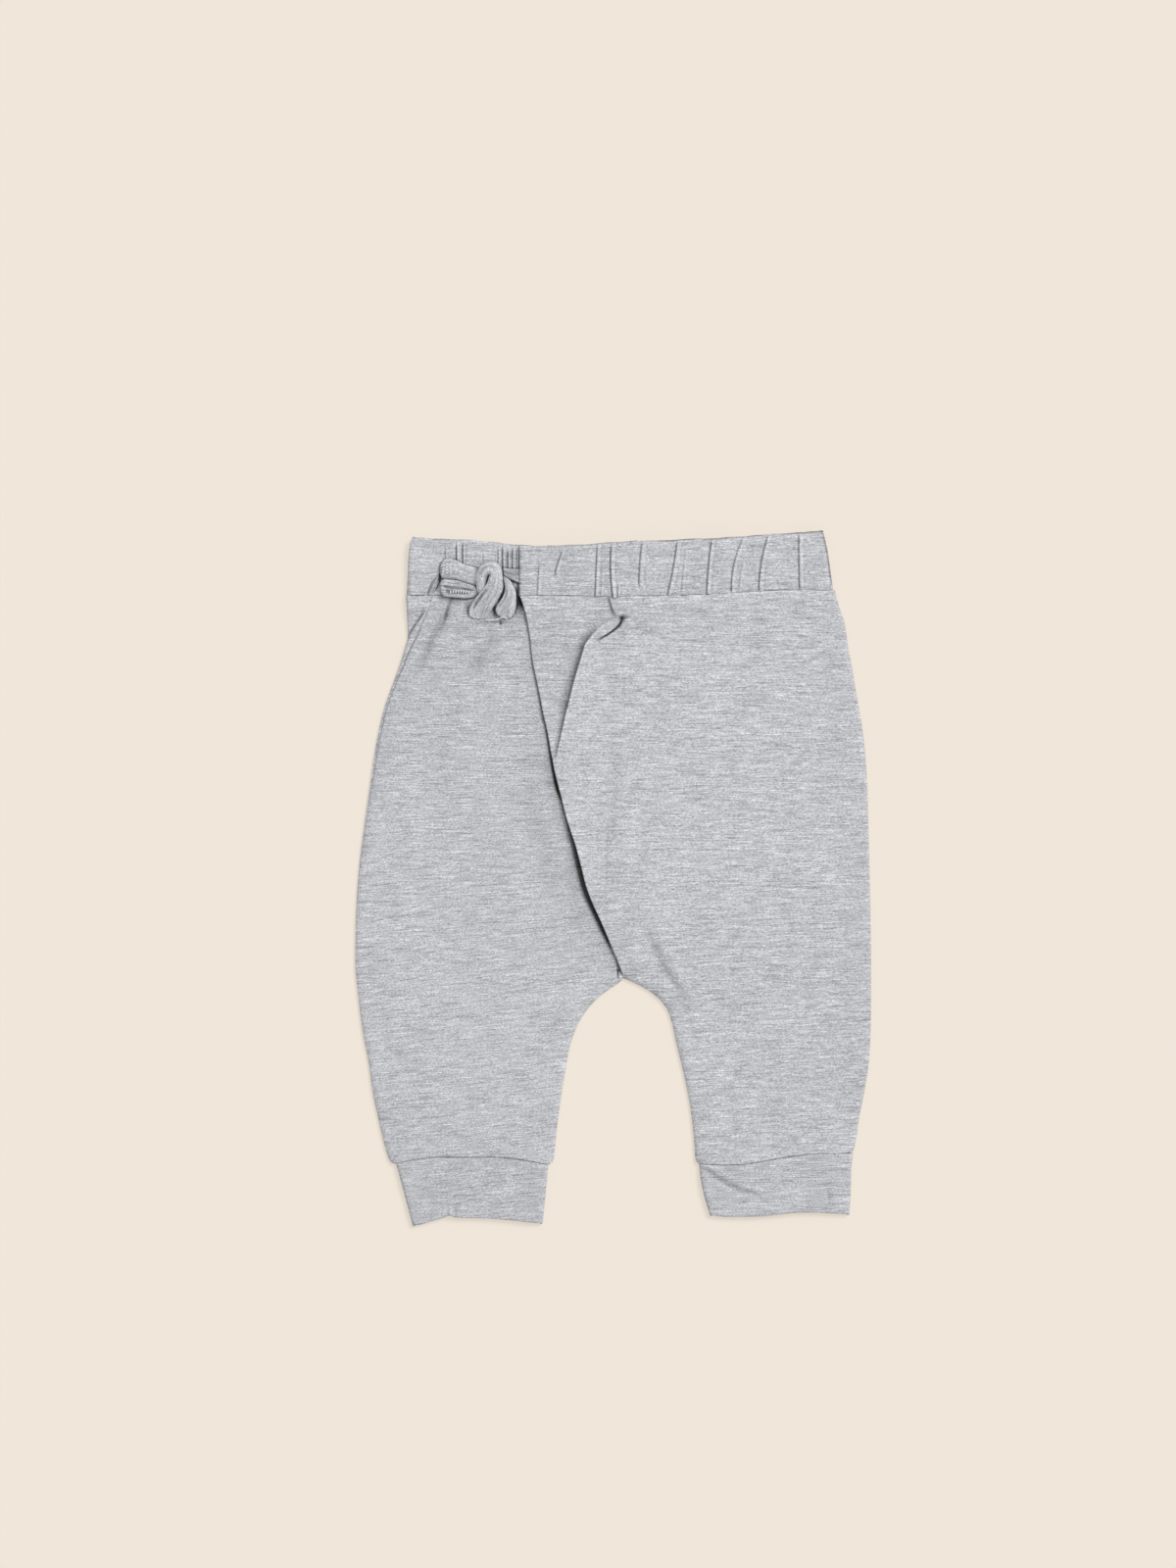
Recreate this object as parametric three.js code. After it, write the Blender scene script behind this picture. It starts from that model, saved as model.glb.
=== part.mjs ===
// Harem trousers for a baby, laid flat on their back with the wrapped front up.
// Millimetres, +Z up. Looking down on the front, +X is right and +Y is towards the waist.
// The back rests on z = 0, and the origin is under the middle of the outline.
import * as THREE from "three";

const CLOTH = 1.2; // one layer of slub jersey, with its pressed seam allowances
const BAND = 2.4; // waistband wall: jersey folded over a flat elastic
const CUFF = 1.6; // cuff wall: two layers of jersey
const GAP = 0.3; // between pieces along a seam
const OVER = 0.45; // between a panel and the one that lies on it
const PUFF = 1.9; // how far the front stands off the back inside its edges
const EDGE_REACH = 5; // distance over which a sewn edge rises to the full puff
const WAIST_LIFT = 1.5; // the front is carried higher where it meets the thick band
const LAP_LIFT = 1.8; // the free edge of the wrap stands off the panel below it
const TUCK = 2.1; // height of the tuck that runs from the waist to the wrap's edge
const CENTRE = 4.75; // x of the centre seam
const CROTCH = -51; // y of the crotch
const WAIST_SEAM = 144; // y of the seam under the waistband, before its curve
const CUFF_SEAM = -144; // y of the seams over the cuffs, before their curve

const table = (names, rows) =>
  rows.map((row) => Object.fromEntries(names.split(" ").map((n, i) => [n, row[i]])));

// Side edges of the panels. The front's left edge starts inside the back's, which shows beside it.
const SIDES = table("y back front right", [
  [144, -105.7, -92.2, 113.2],
  [136, -105.2, -95.6, 115.4],
  [128, -104.8, -100.6, 118.2],
  [118, -105.9, -105.3, 119.8],
  [108, -109.0, -108.3, 121.8],
  [88, -116.2, -115.3, 125.2],
  [68, -120.8, -120.0, 128.2],
  [28, -126.7, -126.3, 130.2],
  [-12, -130.7, -130.7, 131.2],
  [-42, -131.6, -131.6, 131.7],
  [-80, -127.3, -127.3, 131.4],
  [-108, -122.6, -122.6, 128.2],
  [-132, -117.2, -117.2, 124.4],
  [-144, -113.4, -113.4, 122.7],
]);

// Inside leg edges, from the crotch to the cuffs.
const INSEAMS = table("y left right", [
  [-51, 4.6, 4.9],
  [-54, 3.7, 12.3],
  [-57, 0.6, 17.7],
  [-60.5, -5.2, 22.0],
  [-66, -11.2, 27.2],
  [-73, -16.3, 29.8],
  [-84, -20.8, 31.8],
  [-98, -23.8, 35.5],
  [-114, -26.2, 38.9],
  [-130, -28.9, 40.9],
  [-144, -29.8, 42.6],
]);

// The wrap's free edge, and the tuck that leans towards it from the waist seam.
const LAP = table("y edge tuck height", [
  [144, -46.4, 1.0, 0.35],
  [137, -45.3, 3.6, 0.75],
  [132.5, -44.8, 5.5, 1.0],
  [128.5, -44.3, 2.3, 1.0],
  [125, -43.8, -2.8, 0.95],
  [122, -43.4, -8.6, 0.85],
  [119, -42.9, -13.6, 0.8],
  [114.5, -42.1, -16.8, 0.8],
  [107.5, -41.0, -20.2, 0.8],
  [97, -39.3, -22.8, 0.75],
  [85, -37.4, -25.6, 0.6],
  [71, -34.5, -28.0, 0.35],
  [58, -31.2, -27.6, 0.1],
  [42, -28.2, -24.6, 0],
  [28, -25.2, -21.7, 0],
  [-2, -15.2, -11.7, 0],
  [-24.5, -6.7, -3.2, 0],
  [-39.5, -0.2, 3.0, 0],
  [-47, 2.8, 5.2, 0],
  [-51, 4.9, 7.0, 0],
]);

// Height of the waist seam and the band's top edge across the front.
const WAIST = table("x seam top", [
  [-107, 144, 174.2],
  [-92, 144, 173.4],
  [-75, 143.9, 172.4],
  [-48, 143.8, 170.0],
  [-30, 143.8, 169.9],
  [9, 143.8, 172.0],
  [48, 144.3, 173.2],
  [80, 146.2, 175.4],
  [106, 146.7, 177.4],
  [116, 146.6, 177.6],
]);

// The waistband's ends, where it folds round the sides.
const BAND_ENDS = table("level left right", [
  [0, -105.4, 111.8],
  [0.3, -104.7, 110.6],
  [0.7, -104.0, 108.8],
  [1, -102.2, 106.2],
]);

// Pinches in the elastic: where each crosses the top and the seam, and its height and width.
const PINCHES_RIGHT = table("top seam height width", [
  [-26.5, -29.6, 0.45, 2.2],
  [-8.0, -9.1, 0.7, 1.8],
  [-0.4, 0.7, 0.75, 1.8],
  [15.0, 13.5, 0.6, 2.0],
  [32.2, 27.6, 0.7, 2.2],
  [50.3, 47.6, 0.8, 2.0],
  [66.4, 59.6, 0.75, 2.2],
  [79.0, 74.2, 0.8, 2.2],
  [94.8, 96.3, 0.75, 2.0],
]);
const PINCHES_LEFT = table("top seam height width", [
  [-94.0, -90.0, 0.3, 2.2],
  [-79.8, -79.8, 0.7, 1.6],
  [-75.6, -75.9, 0.7, 1.6],
  [-65.4, -65.8, 0.35, 2.0],
  [-56.2, -56.0, 0.6, 0.9],
  [-53.4, -53.3, 0.6, 0.9],
  [-50.7, -50.7, 0.6, 0.9],
]);

// Soft folds of the front: from (x, y) to (x2, y2), their height (below 0 a trough) and width.
const FOLDS = table("x y x2 y2 height width", [
  [-82.5, 140.5, -97.8, 108, -0.5, 4],
  [-60, 132, -72, 96, -0.4, 5],
  [-44, 62, -19, -26, -0.5, 7],
  [18.5, -29.5, 31, -60, -0.55, 3],
  [-2.4, 80, -1.0, 8, -0.35, 4],
]);

// Each cuff: the seam and the hem across its width, and its two sides from seam to hem.
const CUFF_LEFT = {
  across: table("x seam hem", [
    [-114, -145.2, -178.6],
    [-102, -144.0, -177.4],
    [-92, -142.6, -175.1],
    [-83, -142.0, -172.2],
    [-76, -141.9, -173.3],
    [-56, -142.4, -174.0],
    [-42, -144.2, -176.0],
    [-29, -145.9, -176.6],
  ]),
  sides: table("level left right", [
    [0, -110.9, -33.2],
    [0.5, -106.6, -34.4],
    [1, -102.3, -36.0],
  ]),
};
const CUFF_RIGHT = {
  across: table("x seam hem", [
    [42, -145.4, -171.5],
    [50, -145.9, -172.3],
    [60, -146.0, -172.8],
    [80, -143.6, -172.5],
    [92, -141.4, -171.0],
    [106, -140.6, -170.8],
    [123, -140.2, -171.5],
  ]),
  sides: table("level left right", [
    [0, 43.8, 121.6],
    [0.5, 46.2, 121.2],
    [1, 49.4, 120.4],
  ]),
};

// A smooth curve through one column of a table as a function of another, without overshoot.
function curve(rows, from, to) {
  const p = rows.map((r) => [r[from], r[to]]).sort((a, b) => a[0] - b[0]);
  const last = p.length - 1;
  const slope = p.slice(1).map(([x, y], i) => (y - p[i][1]) / (x - p[i][0]));
  const tangent = p.map((_, i) => {
    if (i === 0) return slope[0];
    if (i === last) return slope[last - 1];
    const [a, b] = [slope[i - 1], slope[i]];
    return a * b <= 0 ? 0 : (2 * a * b) / (a + b);
  });
  return (x) => {
    if (x <= p[0][0]) return p[0][1];
    if (x >= p[last][0]) return p[last][1];
    const i = p.findIndex((q, k) => k > 0 && x <= q[0]) - 1;
    const w = p[i + 1][0] - p[i][0];
    const t = (x - p[i][0]) / w;
    return (
      (1 + 2 * t) * (1 - t) ** 2 * p[i][1] +
      t * (1 - t) ** 2 * w * tangent[i] +
      t * t * (3 - 2 * t) * p[i + 1][1] +
      t * t * (t - 1) * w * tangent[i + 1]
    );
  };
}

const { smoothstep, lerp } = THREE.MathUtils;
const sideBack = curve(SIDES, "y", "back");
const sideFront = curve(SIDES, "y", "front");
const sideRight = curve(SIDES, "y", "right");
const inseamLeft = curve(INSEAMS, "y", "left");
const inseamRight = curve(INSEAMS, "y", "right");
const lapEdge = curve(LAP, "y", "edge");
const tuckLine = curve(LAP, "y", "tuck");
const tuckHeight = curve(LAP, "y", "height");
const waistSeam = curve(WAIST, "x", "seam");
const waistTop = curve(WAIST, "x", "top");
const bandLeft = curve(BAND_ENDS, "level", "left");
const bandRight = curve(BAND_ENDS, "level", "right");
for (const cuff of [CUFF_LEFT, CUFF_RIGHT]) {
  cuff.seam = curve(cuff.across, "x", "seam");
  cuff.hem = curve(cuff.across, "x", "hem");
  cuff.left = curve(cuff.sides, "level", "left");
  cuff.right = curve(cuff.sides, "level", "right");
}

// The left front was cut as the wrap's mirror image, so its free edge lies hidden below the wrap.
const hiddenEdge = (y) => 2 * CENTRE - lapEdge(y);

// A panel's points follow the curve of the seam at its waist or its cuff.
function onSeams(x, y, cuff) {
  const nearWaist = smoothstep(y, 118, WAIST_SEAM);
  const nearCuff = 1 - smoothstep(y, CUFF_SEAM, CUFF_SEAM + 24);
  return (
    y +
    nearWaist * (waistSeam(x) - WAIST_SEAM - GAP / 2) +
    nearCuff * (cuff.seam(x) - CUFF_SEAM + GAP / 2)
  );
}

// How far a soft fold lifts or lowers the cloth at a point.
function foldAt(fold, x, y) {
  const along = new THREE.Vector2(fold.x2 - fold.x, fold.y2 - fold.y);
  const at = new THREE.Vector2(x - fold.x, y - fold.y);
  const t = at.dot(along) / along.lengthSq();
  if (t < 0 || t > 1) return 0;
  const across = at.cross(along) / along.length();
  return fold.height * Math.sin(Math.PI * t) * Math.exp(-((across / fold.width) ** 2));
}

// Underside of the front over the back: it falls to the back along every sewn edge.
function frontUnderside(x, y, side) {
  const rise = (d) => 1 - Math.exp(-Math.max(0, d) / EDGE_REACH);
  const outer = side < 0 ? x - sideFront(y) : sideRight(y) - x;
  const toCrotch = Math.hypot(x - CENTRE, y - CROTCH);
  const inner = side < 0 ? inseamLeft(y) - x : x - inseamRight(y);
  const inside = y > CROTCH ? toCrotch : Math.min(toCrotch, inner);
  const folds = FOLDS.reduce((sum, fold) => sum + foldAt(fold, x, y), 0);
  const free = rise(outer) * rise(inside);
  return CLOTH + GAP + free * (PUFF + folds) + WAIST_LIFT * smoothstep(y, 112, WAIST_SEAM);
}

// Underside of the wrap: over the left front, then down past its hidden edge, with the tuck.
function wrapUnderside(x, y) {
  const fromEdge = x - lapEdge(y);
  const past = smoothstep(x, hiddenEdge(y) + 1, hiddenEdge(y) + 16);
  const overlap = (1 - past) * smoothstep(y, CROTCH - 12, CROTCH);
  const nearEdge = Math.exp(-Math.max(0, fromEdge) / 12);
  const lift = LAP_LIFT * Math.exp(-(((y - 2) / 34) ** 2)) * nearEdge;
  const beyond = x - tuckLine(y);
  const tuck = smoothstep(beyond, -1.4, 1.2) * Math.exp(-Math.max(0, beyond) / 26);
  return (
    frontUnderside(x, y, 1) +
    overlap * (CLOTH + OVER) +
    lift * smoothstep(y, CROTCH, CROTCH + 14) +
    TUCK * tuckHeight(y) * tuck
  );
}

// A closed wall from a grid of points on its underside and its thickness.
function wall(rows, thickness) {
  const high = rows.length;
  const wide = rows[0].length;
  const positions = [];
  for (const lift of [0, thickness])
    for (const row of rows) for (const p of row) positions.push(p.x, p.y, p.z + lift);
  const at = (i, j, top) => (top ? high * wide : 0) + i * wide + j;
  const index = [];
  const quad = (a, b, c, d) => index.push(a, b, c, a, c, d);
  for (let i = 0; i < high - 1; i++) {
    for (let j = 0; j < wide - 1; j++) {
      quad(at(i, j, 1), at(i + 1, j, 1), at(i + 1, j + 1, 1), at(i, j + 1, 1));
      quad(at(i, j, 0), at(i, j + 1, 0), at(i + 1, j + 1, 0), at(i + 1, j, 0));
    }
    quad(at(i, 0, 0), at(i + 1, 0, 0), at(i + 1, 0, 1), at(i, 0, 1));
    quad(at(i, wide - 1, 0), at(i, wide - 1, 1), at(i + 1, wide - 1, 1), at(i + 1, wide - 1, 0));
  }
  for (let j = 0; j < wide - 1; j++) {
    quad(at(0, j, 0), at(0, j, 1), at(0, j + 1, 1), at(0, j + 1, 0));
    quad(at(high - 1, j, 0), at(high - 1, j + 1, 0), at(high - 1, j + 1, 1), at(high - 1, j, 1));
  }
  return closed(positions, index);
}

function closed(positions, index) {
  const geometry = new THREE.BufferGeometry();
  geometry.setAttribute("position", new THREE.Float32BufferAttribute(positions, 3));
  geometry.setIndex(index);
  geometry.computeVertexNormals();
  return geometry;
}

// Levels from the waist to the cuffs, close together at the tuck and the crotch.
const UPPER = [144, 140, 136.5, 134, 131.5, 129, 126.5, 124, 121.5, 118.5, 114, 107, 98, 88, 77]
  .concat([66, 54, 41, 27, 13, 0, -12, -23, -33, -41, -47, -51]);
const LOWER = [-53.5, -56.5, -60, -64, -69, -77, -88, -101, -114, -127, -137, CUFF_SEAM];

// The left front: wide steps over the middle, short ones towards its sewn edges.
function leftFront() {
  const steps = [0, 0.015, 0.045, 0.1, 0.2, 0.33, 0.47, 0.61, 0.75, 0.87, 0.95, 0.985, 1];
  const levels = UPPER.filter((_, i) => i % 2 === 0 || i > 10).concat(LOWER);
  const rows = levels.map((level) => {
    const from = sideFront(level);
    const to = level > CROTCH ? hiddenEdge(level) : inseamLeft(level);
    return steps.map((s) => {
      const x = lerp(from, to, s);
      const y = onSeams(x, level, CUFF_LEFT);
      return new THREE.Vector3(x, y, frontUnderside(x, level, -1));
    });
  });
  return wall(rows, CLOTH);
}

// The wrap: columns follow its free edge, the tuck and the hidden edge of the panel below.
function wrapFront() {
  const rows = UPPER.concat(LOWER).map((level) => {
    const open = level > CROTCH;
    const from = open ? lapEdge(level) : inseamRight(level);
    const tuck = open ? tuckLine(level) : from + 2.1;
    const hidden = open ? Math.max(hiddenEdge(level), tuck + 3.6) : tuck + 3.6;
    const to = sideRight(level);
    const columns = [
      ...[0, 0.5].map((s) => lerp(from, tuck - 1.4, s)),
      ...[-1.4, -0.2, 1.2, 2.6].map((d) => tuck + d),
      ...[0.33, 0.67, 1].map((s) => lerp(tuck + 2.6, hidden, s)),
      ...[1, 6, 11, 16].map((d) => hidden + d),
      ...[0.2, 0.4, 0.6, 0.8, 0.93, 0.98, 1].map((s) => lerp(hidden + 16, to, s)),
    ];
    return columns.map((x) => {
      const y = onSeams(x, level, CUFF_RIGHT);
      return new THREE.Vector3(x, y, wrapUnderside(x, level));
    });
  });
  return wall(rows, CLOTH);
}

// Half of the back: a flat piece that runs from the side to the centre seam and down one leg.
function halfBack(side, cuff) {
  const outer = side < 0 ? sideBack : sideRight;
  const inseam = side < 0 ? inseamLeft : inseamRight;
  const inner = (y) => (y > CROTCH ? CENTRE + (side * GAP) / 2 : inseam(y));
  const point = (x, level) => new THREE.Vector2(x, onSeams(x, level, cuff));
  const levels = UPPER.filter((_, i) => i % 2 === 0).concat(LOWER);
  const down = (edge) => levels.map((level) => point(edge(level), level));
  const across = (level, from, to) =>
    Array.from({ length: 11 }, (_, i) => point(lerp(from(level), to(level), (i + 1) / 12), level));
  const outline = [
    ...down(outer),
    ...across(CUFF_SEAM, outer, inner),
    ...down(inner).reverse(),
    ...across(WAIST_SEAM, inner, outer),
  ];
  return new THREE.ExtrudeGeometry(new THREE.Shape(outline), { depth: CLOTH, bevelEnabled: false });
}

// A stretch of waistband. Its pinches run from the seam to the top edge and lift the wall.
function band(from, to, pinches, underside) {
  const pinchX = (p, level) => lerp(p.seam, p.top, level);
  const stops = new Set([0, 1]);
  const across = (x) => (x - from(0.5)) / (to(0.5) - from(0.5));
  for (const p of pinches)
    for (const d of [-1.1, -0.5, 0, 0.5, 1.1])
      stops.add(THREE.MathUtils.clamp(across(pinchX(p, 0.5) + d * p.width), 0, 1));
  const even = Math.max(3, Math.round((to(0.5) - from(0.5)) / 12));
  for (let i = 1; i < even; i++) stops.add(i / even);
  const sorted = [...stops].sort((a, b) => a - b);
  const steps = sorted.filter((s, i) => i === 0 || s - sorted[i - 1] > 0.002 || s === 1);
  const rows = [1, 0.75, 0.4, 0].map((level) =>
    steps.map((s) => {
      const lean = (level - 0.5) * 0.8;
      const near = pinches.reduce((best, p) => {
        const d = Math.abs(across(pinchX(p, 0.5)) - s);
        return d < best.d ? { d, by: p.top - p.seam } : best;
      }, { d: 0.03, by: 0 });
      const x = lerp(from(level), to(level), s) + (s > 0.01 && s < 0.99 ? near.by * lean : 0);
      const y = lerp(waistSeam(x) + GAP / 2, waistTop(x), level);
      const ridge = pinches.reduce((sum, p) => {
        const d = (x - pinchX(p, level)) / p.width;
        return sum + p.height * Math.exp(-3 * d * d);
      }, 0);
      return new THREE.Vector3(x, y, underside(x) + ridge);
    }),
  );
  return wall(rows, BAND);
}

// The front of the band rises from the fold at each side to its full height.
const foldUp = (d) => 1 - Math.exp(-Math.max(0, d) / 3);
const FRONT_BAND = BAND + GAP;
const leftBandEnd = () => 2 * CENTRE - LAP[0].edge;
const rightBandStart = () => -47.2;
const leftBandUnderside = (x) => FRONT_BAND + 0.5 * foldUp(x - bandLeft(0.5));
const rightBandUnderside = (x) =>
  FRONT_BAND +
  0.5 * foldUp(bandRight(0.5) - x) +
  (BAND + OVER + 0.5) * (1 - smoothstep(x, leftBandEnd() + 1, leftBandEnd() + 16));

// A cuff is a tube pressed flat: rings from the seam to the hem, each with an outer and inner line.
function cuffTube(cuff) {
  const low = 0;
  const high = 2 * CUFF + 0.6;
  const ring = (inset) => {
    const [bottom, top] = [low + inset, high - inset];
    const radius = (top - bottom) / 2;
    const middle = (top + bottom) / 2;
    const half = 8;
    const turn = [-0.3, -0.1, 0.1, 0.3].map((a) => a * Math.PI);
    const points = [];
    for (let i = 0; i <= half; i++) points.push({ s: i / half, d: 0, z: bottom });
    for (const a of turn)
      points.push({ s: 1, d: Math.cos(a) * radius, z: middle + Math.sin(a) * radius });
    for (let i = half; i >= 0; i--)
      points.push({ s: i / half, d: 0, z: top, puff: Math.sin((Math.PI * i) / half) });
    for (const a of turn)
      points.push({ s: 0, d: -Math.cos(a) * radius, z: middle - Math.sin(a) * radius });
    return points.map((p) => ({ ...p, inset: (high - low) / 2 }));
  };
  const levels = [0, 0.2, 0.4, 0.6, 0.8, 1];
  const positions = [];
  const rings = [ring(0), ring(CUFF)];
  const n = rings[0].length;
  for (const points of rings)
    for (const level of levels)
      for (const p of points) {
        const from = cuff.left(level) + p.inset;
        const to = cuff.right(level) - p.inset;
        const x = lerp(from, to, p.s) + p.d;
        const y = lerp(cuff.seam(x) - GAP / 2, cuff.hem(x), level);
        positions.push(x, y, p.z + 0.7 * (p.puff ?? 0));
      }
  const at = (inner, level, k) => (inner * levels.length + level) * n + (k % n);
  const index = [];
  const quad = (a, b, c, d) => index.push(a, b, c, a, c, d);
  for (let k = 0; k < n; k++) {
    for (let i = 0; i < levels.length - 1; i++) {
      quad(at(0, i, k), at(0, i, k + 1), at(0, i + 1, k + 1), at(0, i + 1, k));
      quad(at(1, i, k), at(1, i + 1, k), at(1, i + 1, k + 1), at(1, i, k + 1));
    }
    const end = levels.length - 1;
    quad(at(0, 0, k), at(1, 0, k), at(1, 0, k + 1), at(0, 0, k + 1));
    quad(at(0, end, k), at(0, end, k + 1), at(1, end, k + 1), at(1, end, k));
  }
  return closed(positions, index);
}

// A strap of rolled jersey: a flattened round section carried along the rows of a table.
function strap(rows, sides = 12) {
  const spine = new THREE.CatmullRomCurve3(rows.map((r) => new THREE.Vector3(r.x, r.y, r.z)));
  const up = new THREE.Vector3(0, 0, 1);
  const count = (rows.length - 1) * 2;
  const positions = [];
  const size = (key, t) => {
    const k = Math.min(rows.length - 2, Math.floor(t * (rows.length - 1)));
    return lerp(rows[k][key], rows[k + 1][key], smoothstep(t * (rows.length - 1) - k, 0, 1));
  };
  for (let i = 0; i <= count; i++) {
    const t = i / count;
    const along = spine.getTangent(t);
    const across = new THREE.Vector3().crossVectors(along, up).normalize();
    const above = new THREE.Vector3().crossVectors(across, along).normalize();
    for (let k = 0; k < sides; k++) {
      const a = (2 * Math.PI * k) / sides;
      const p = spine.getPoint(t);
      p.addScaledVector(across, (Math.cos(a) * size("width", t)) / 2);
      p.addScaledVector(above, (Math.sin(a) * size("thick", t)) / 2);
      positions.push(p.x, p.y, p.z);
    }
  }
  const index = [];
  for (let i = 0; i < count; i++)
    for (let k = 0; k < sides; k++) {
      const [a, b] = [i * sides + k, i * sides + ((k + 1) % sides)];
      index.push(a, b + sides, b, a, a + sides, b + sides);
    }
  for (let k = 1; k < sides - 1; k++) {
    index.push(0, k, k + 1);
    const end = count * sides;
    index.push(end, end + k + 1, end + k);
  }
  return closed(positions, index);
}

const TIE_Z = FRONT_BAND + BAND + 1.3; // what the tie lies on, over the pinches of the band

// The tie's loop end: a strap doubled back on itself, its two limbs side by side.
function tieLoop() {
  const profile = table("y low high", [
    [143.4, 1.2, 1.4],
    [144.2, 0.3, 2.6],
    [147, 0, 3.4],
    [150.5, 0, 3.2],
    [152.2, 0, 2.2],
    [154, 0, 3.2],
    [158, 0, 3.6],
    [161, 0.3, 2.8],
    [162.3, 1.2, 1.5],
  ]);
  const ends = table("x squeeze rise", [
    [-88, 0.35, 0.2],
    [-87, 0.75, 0],
    [-85, 1, 0],
    [-80, 1.02, 0],
    [-75, 0.98, 0],
    [-71.4, 0.92, 0],
  ]);
  const middle = 152.6;
  const positions = [];
  for (const e of ends) {
    const outline = [...profile.map((p) => [p.y, p.low]), ...profile.map((p) => [p.y, p.high]).reverse()];
    for (const [y, z] of outline)
      positions.push(e.x, middle + (y - middle) * (0.9 + 0.1 * e.squeeze), TIE_Z + e.rise + z * e.squeeze);
  }
  const n = profile.length * 2;
  const index = [];
  for (let i = 0; i < ends.length - 1; i++)
    for (let k = 0; k < n; k++) {
      const [a, b] = [i * n + k, i * n + ((k + 1) % n)];
      index.push(a, b, b + n, a, b + n, a + n);
    }
  const half = profile.length;
  for (let k = 0; k < half - 1; k++) {
    const caps = [0, (ends.length - 1) * n];
    caps.forEach((c, last) => {
      const [a, b, d, e] = [c + k, c + k + 1, c + n - 2 - k, c + n - 1 - k];
      if (last) index.push(a, b, d, a, d, e);
      else index.push(a, d, b, a, e, d);
    });
  }
  return closed(positions, index);
}

// The knot: a strap that comes up beside the loop, turns over and falls as the long tail.
const LONG_TAIL = table("x y z width thick", [
  [-68.6, 146.6, 8.6, 4.6, 2.6],
  [-67.9, 152.0, 9.6, 5.0, 3.0],
  [-65.4, 157.6, 10.6, 5.6, 3.2],
  [-61.6, 158.9, 10.9, 5.8, 3.2],
  [-59.2, 154.6, 10.9, 6.2, 3.2],
  [-60.0, 149.4, 10.9, 8.2, 3.2],
  [-63.4, 143.4, 9.6, 9.4, 3.0],
  [-66.8, 138.0, 8.2, 9.4, 2.6],
  [-68.8, 134.2, 7.4, 7.4, 1.8],
]);
const SHORT_TAIL = table("x y z width thick", [
  [-54.0, 150.8, 8.6, 4.0, 2.0],
  [-52.6, 148.0, 8.6, 6.4, 2.6],
  [-52.0, 142.6, 8.4, 7.6, 2.8],
  [-53.4, 137.2, 7.8, 7.2, 2.4],
  [-55.4, 133.6, 7.3, 4.6, 1.6],
]);
const STRAP_RIGHT = table("x y z width thick", [
  [-54.6, 155.0, 7.5, 5.6, 1.5],
  [-51.5, 154.6, 7.5, 6.0, 1.5],
  [-48.4, 154.2, 7.5, 6.2, 1.5],
]);

const jersey = new THREE.MeshStandardMaterial({ color: 0xc3c4c8, roughness: 0.93, metalness: 0 });
const rib = new THREE.MeshStandardMaterial({ color: 0xbdbec2, roughness: 0.94, metalness: 0 });

const trousers = new THREE.Group();
function add(name, geometry, material) {
  const mesh = new THREE.Mesh(geometry, material);
  mesh.name = name;
  trousers.add(mesh);
}

add("back_left", halfBack(-1, CUFF_LEFT), jersey);
add("back_right", halfBack(1, CUFF_RIGHT), jersey);
add("front_left", leftFront(), jersey);
add("front_wrap", wrapFront(), jersey);
add("waistband_back", band(bandLeft, bandRight, [], () => 0), rib);
add("waistband_left", band(bandLeft, leftBandEnd, PINCHES_LEFT, leftBandUnderside), rib);
add("waistband_wrap", band(rightBandStart, bandRight, PINCHES_RIGHT, rightBandUnderside), rib);
add("cuff_left", cuffTube(CUFF_LEFT), rib);
add("cuff_right", cuffTube(CUFF_RIGHT), rib);
add("tie_loop", tieLoop(), jersey);
add("tie_knot", strap(LONG_TAIL), jersey);
add("tie_short_tail", strap(SHORT_TAIL), jersey);
add("tie_strap", strap(STRAP_RIGHT), jersey);

export default trousers;
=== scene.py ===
"""Baby's harem pants of heather grey slub jersey, laid flat with the wrapped front up.

Looking down on the front, +X is to the right, +Y towards the waist and +Z up from the surface.
Tables are in millimetres, everything made from them is in metres.
"""

import bpy
import numpy as np
from bpy.props import FloatProperty, FloatVectorProperty, PointerProperty
from bpy.types import Operator, Panel, PropertyGroup
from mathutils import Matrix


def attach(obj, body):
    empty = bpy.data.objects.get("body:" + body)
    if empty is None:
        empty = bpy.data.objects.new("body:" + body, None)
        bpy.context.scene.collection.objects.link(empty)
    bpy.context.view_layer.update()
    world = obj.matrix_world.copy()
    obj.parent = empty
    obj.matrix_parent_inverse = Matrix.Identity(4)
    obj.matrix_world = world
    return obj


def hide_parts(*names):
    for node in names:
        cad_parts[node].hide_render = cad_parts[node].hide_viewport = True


bl_info = {
    "name": "Harem pants",
    "version": (1, 0, 0),
    "blender": (4, 5, 0),
    "location": "View3D > Sidebar > Garment",
    "description": "Makes wrap-front jersey harem pants for a baby, laid flat",
    "category": "Object",
}

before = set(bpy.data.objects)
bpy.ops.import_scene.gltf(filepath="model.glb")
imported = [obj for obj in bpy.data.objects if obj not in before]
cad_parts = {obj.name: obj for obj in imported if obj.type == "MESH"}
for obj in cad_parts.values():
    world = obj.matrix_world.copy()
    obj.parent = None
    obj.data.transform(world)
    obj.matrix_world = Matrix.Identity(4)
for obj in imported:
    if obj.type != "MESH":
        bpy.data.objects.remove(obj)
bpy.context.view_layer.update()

MM = 0.001
CENTRE = 4.75 * MM  # the centre seam
CROTCH = -51 * MM
WAIST = 144 * MM  # the seam under the waistband, before its curve
ANKLE = -144 * MM  # the seams over the cuffs, before their curve
SEAM = 0.04 * MM  # from a seam's line to the cloth on either side
BAND_HIGH = 30 * MM
CUFF_HIGH = 32 * MM

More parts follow.
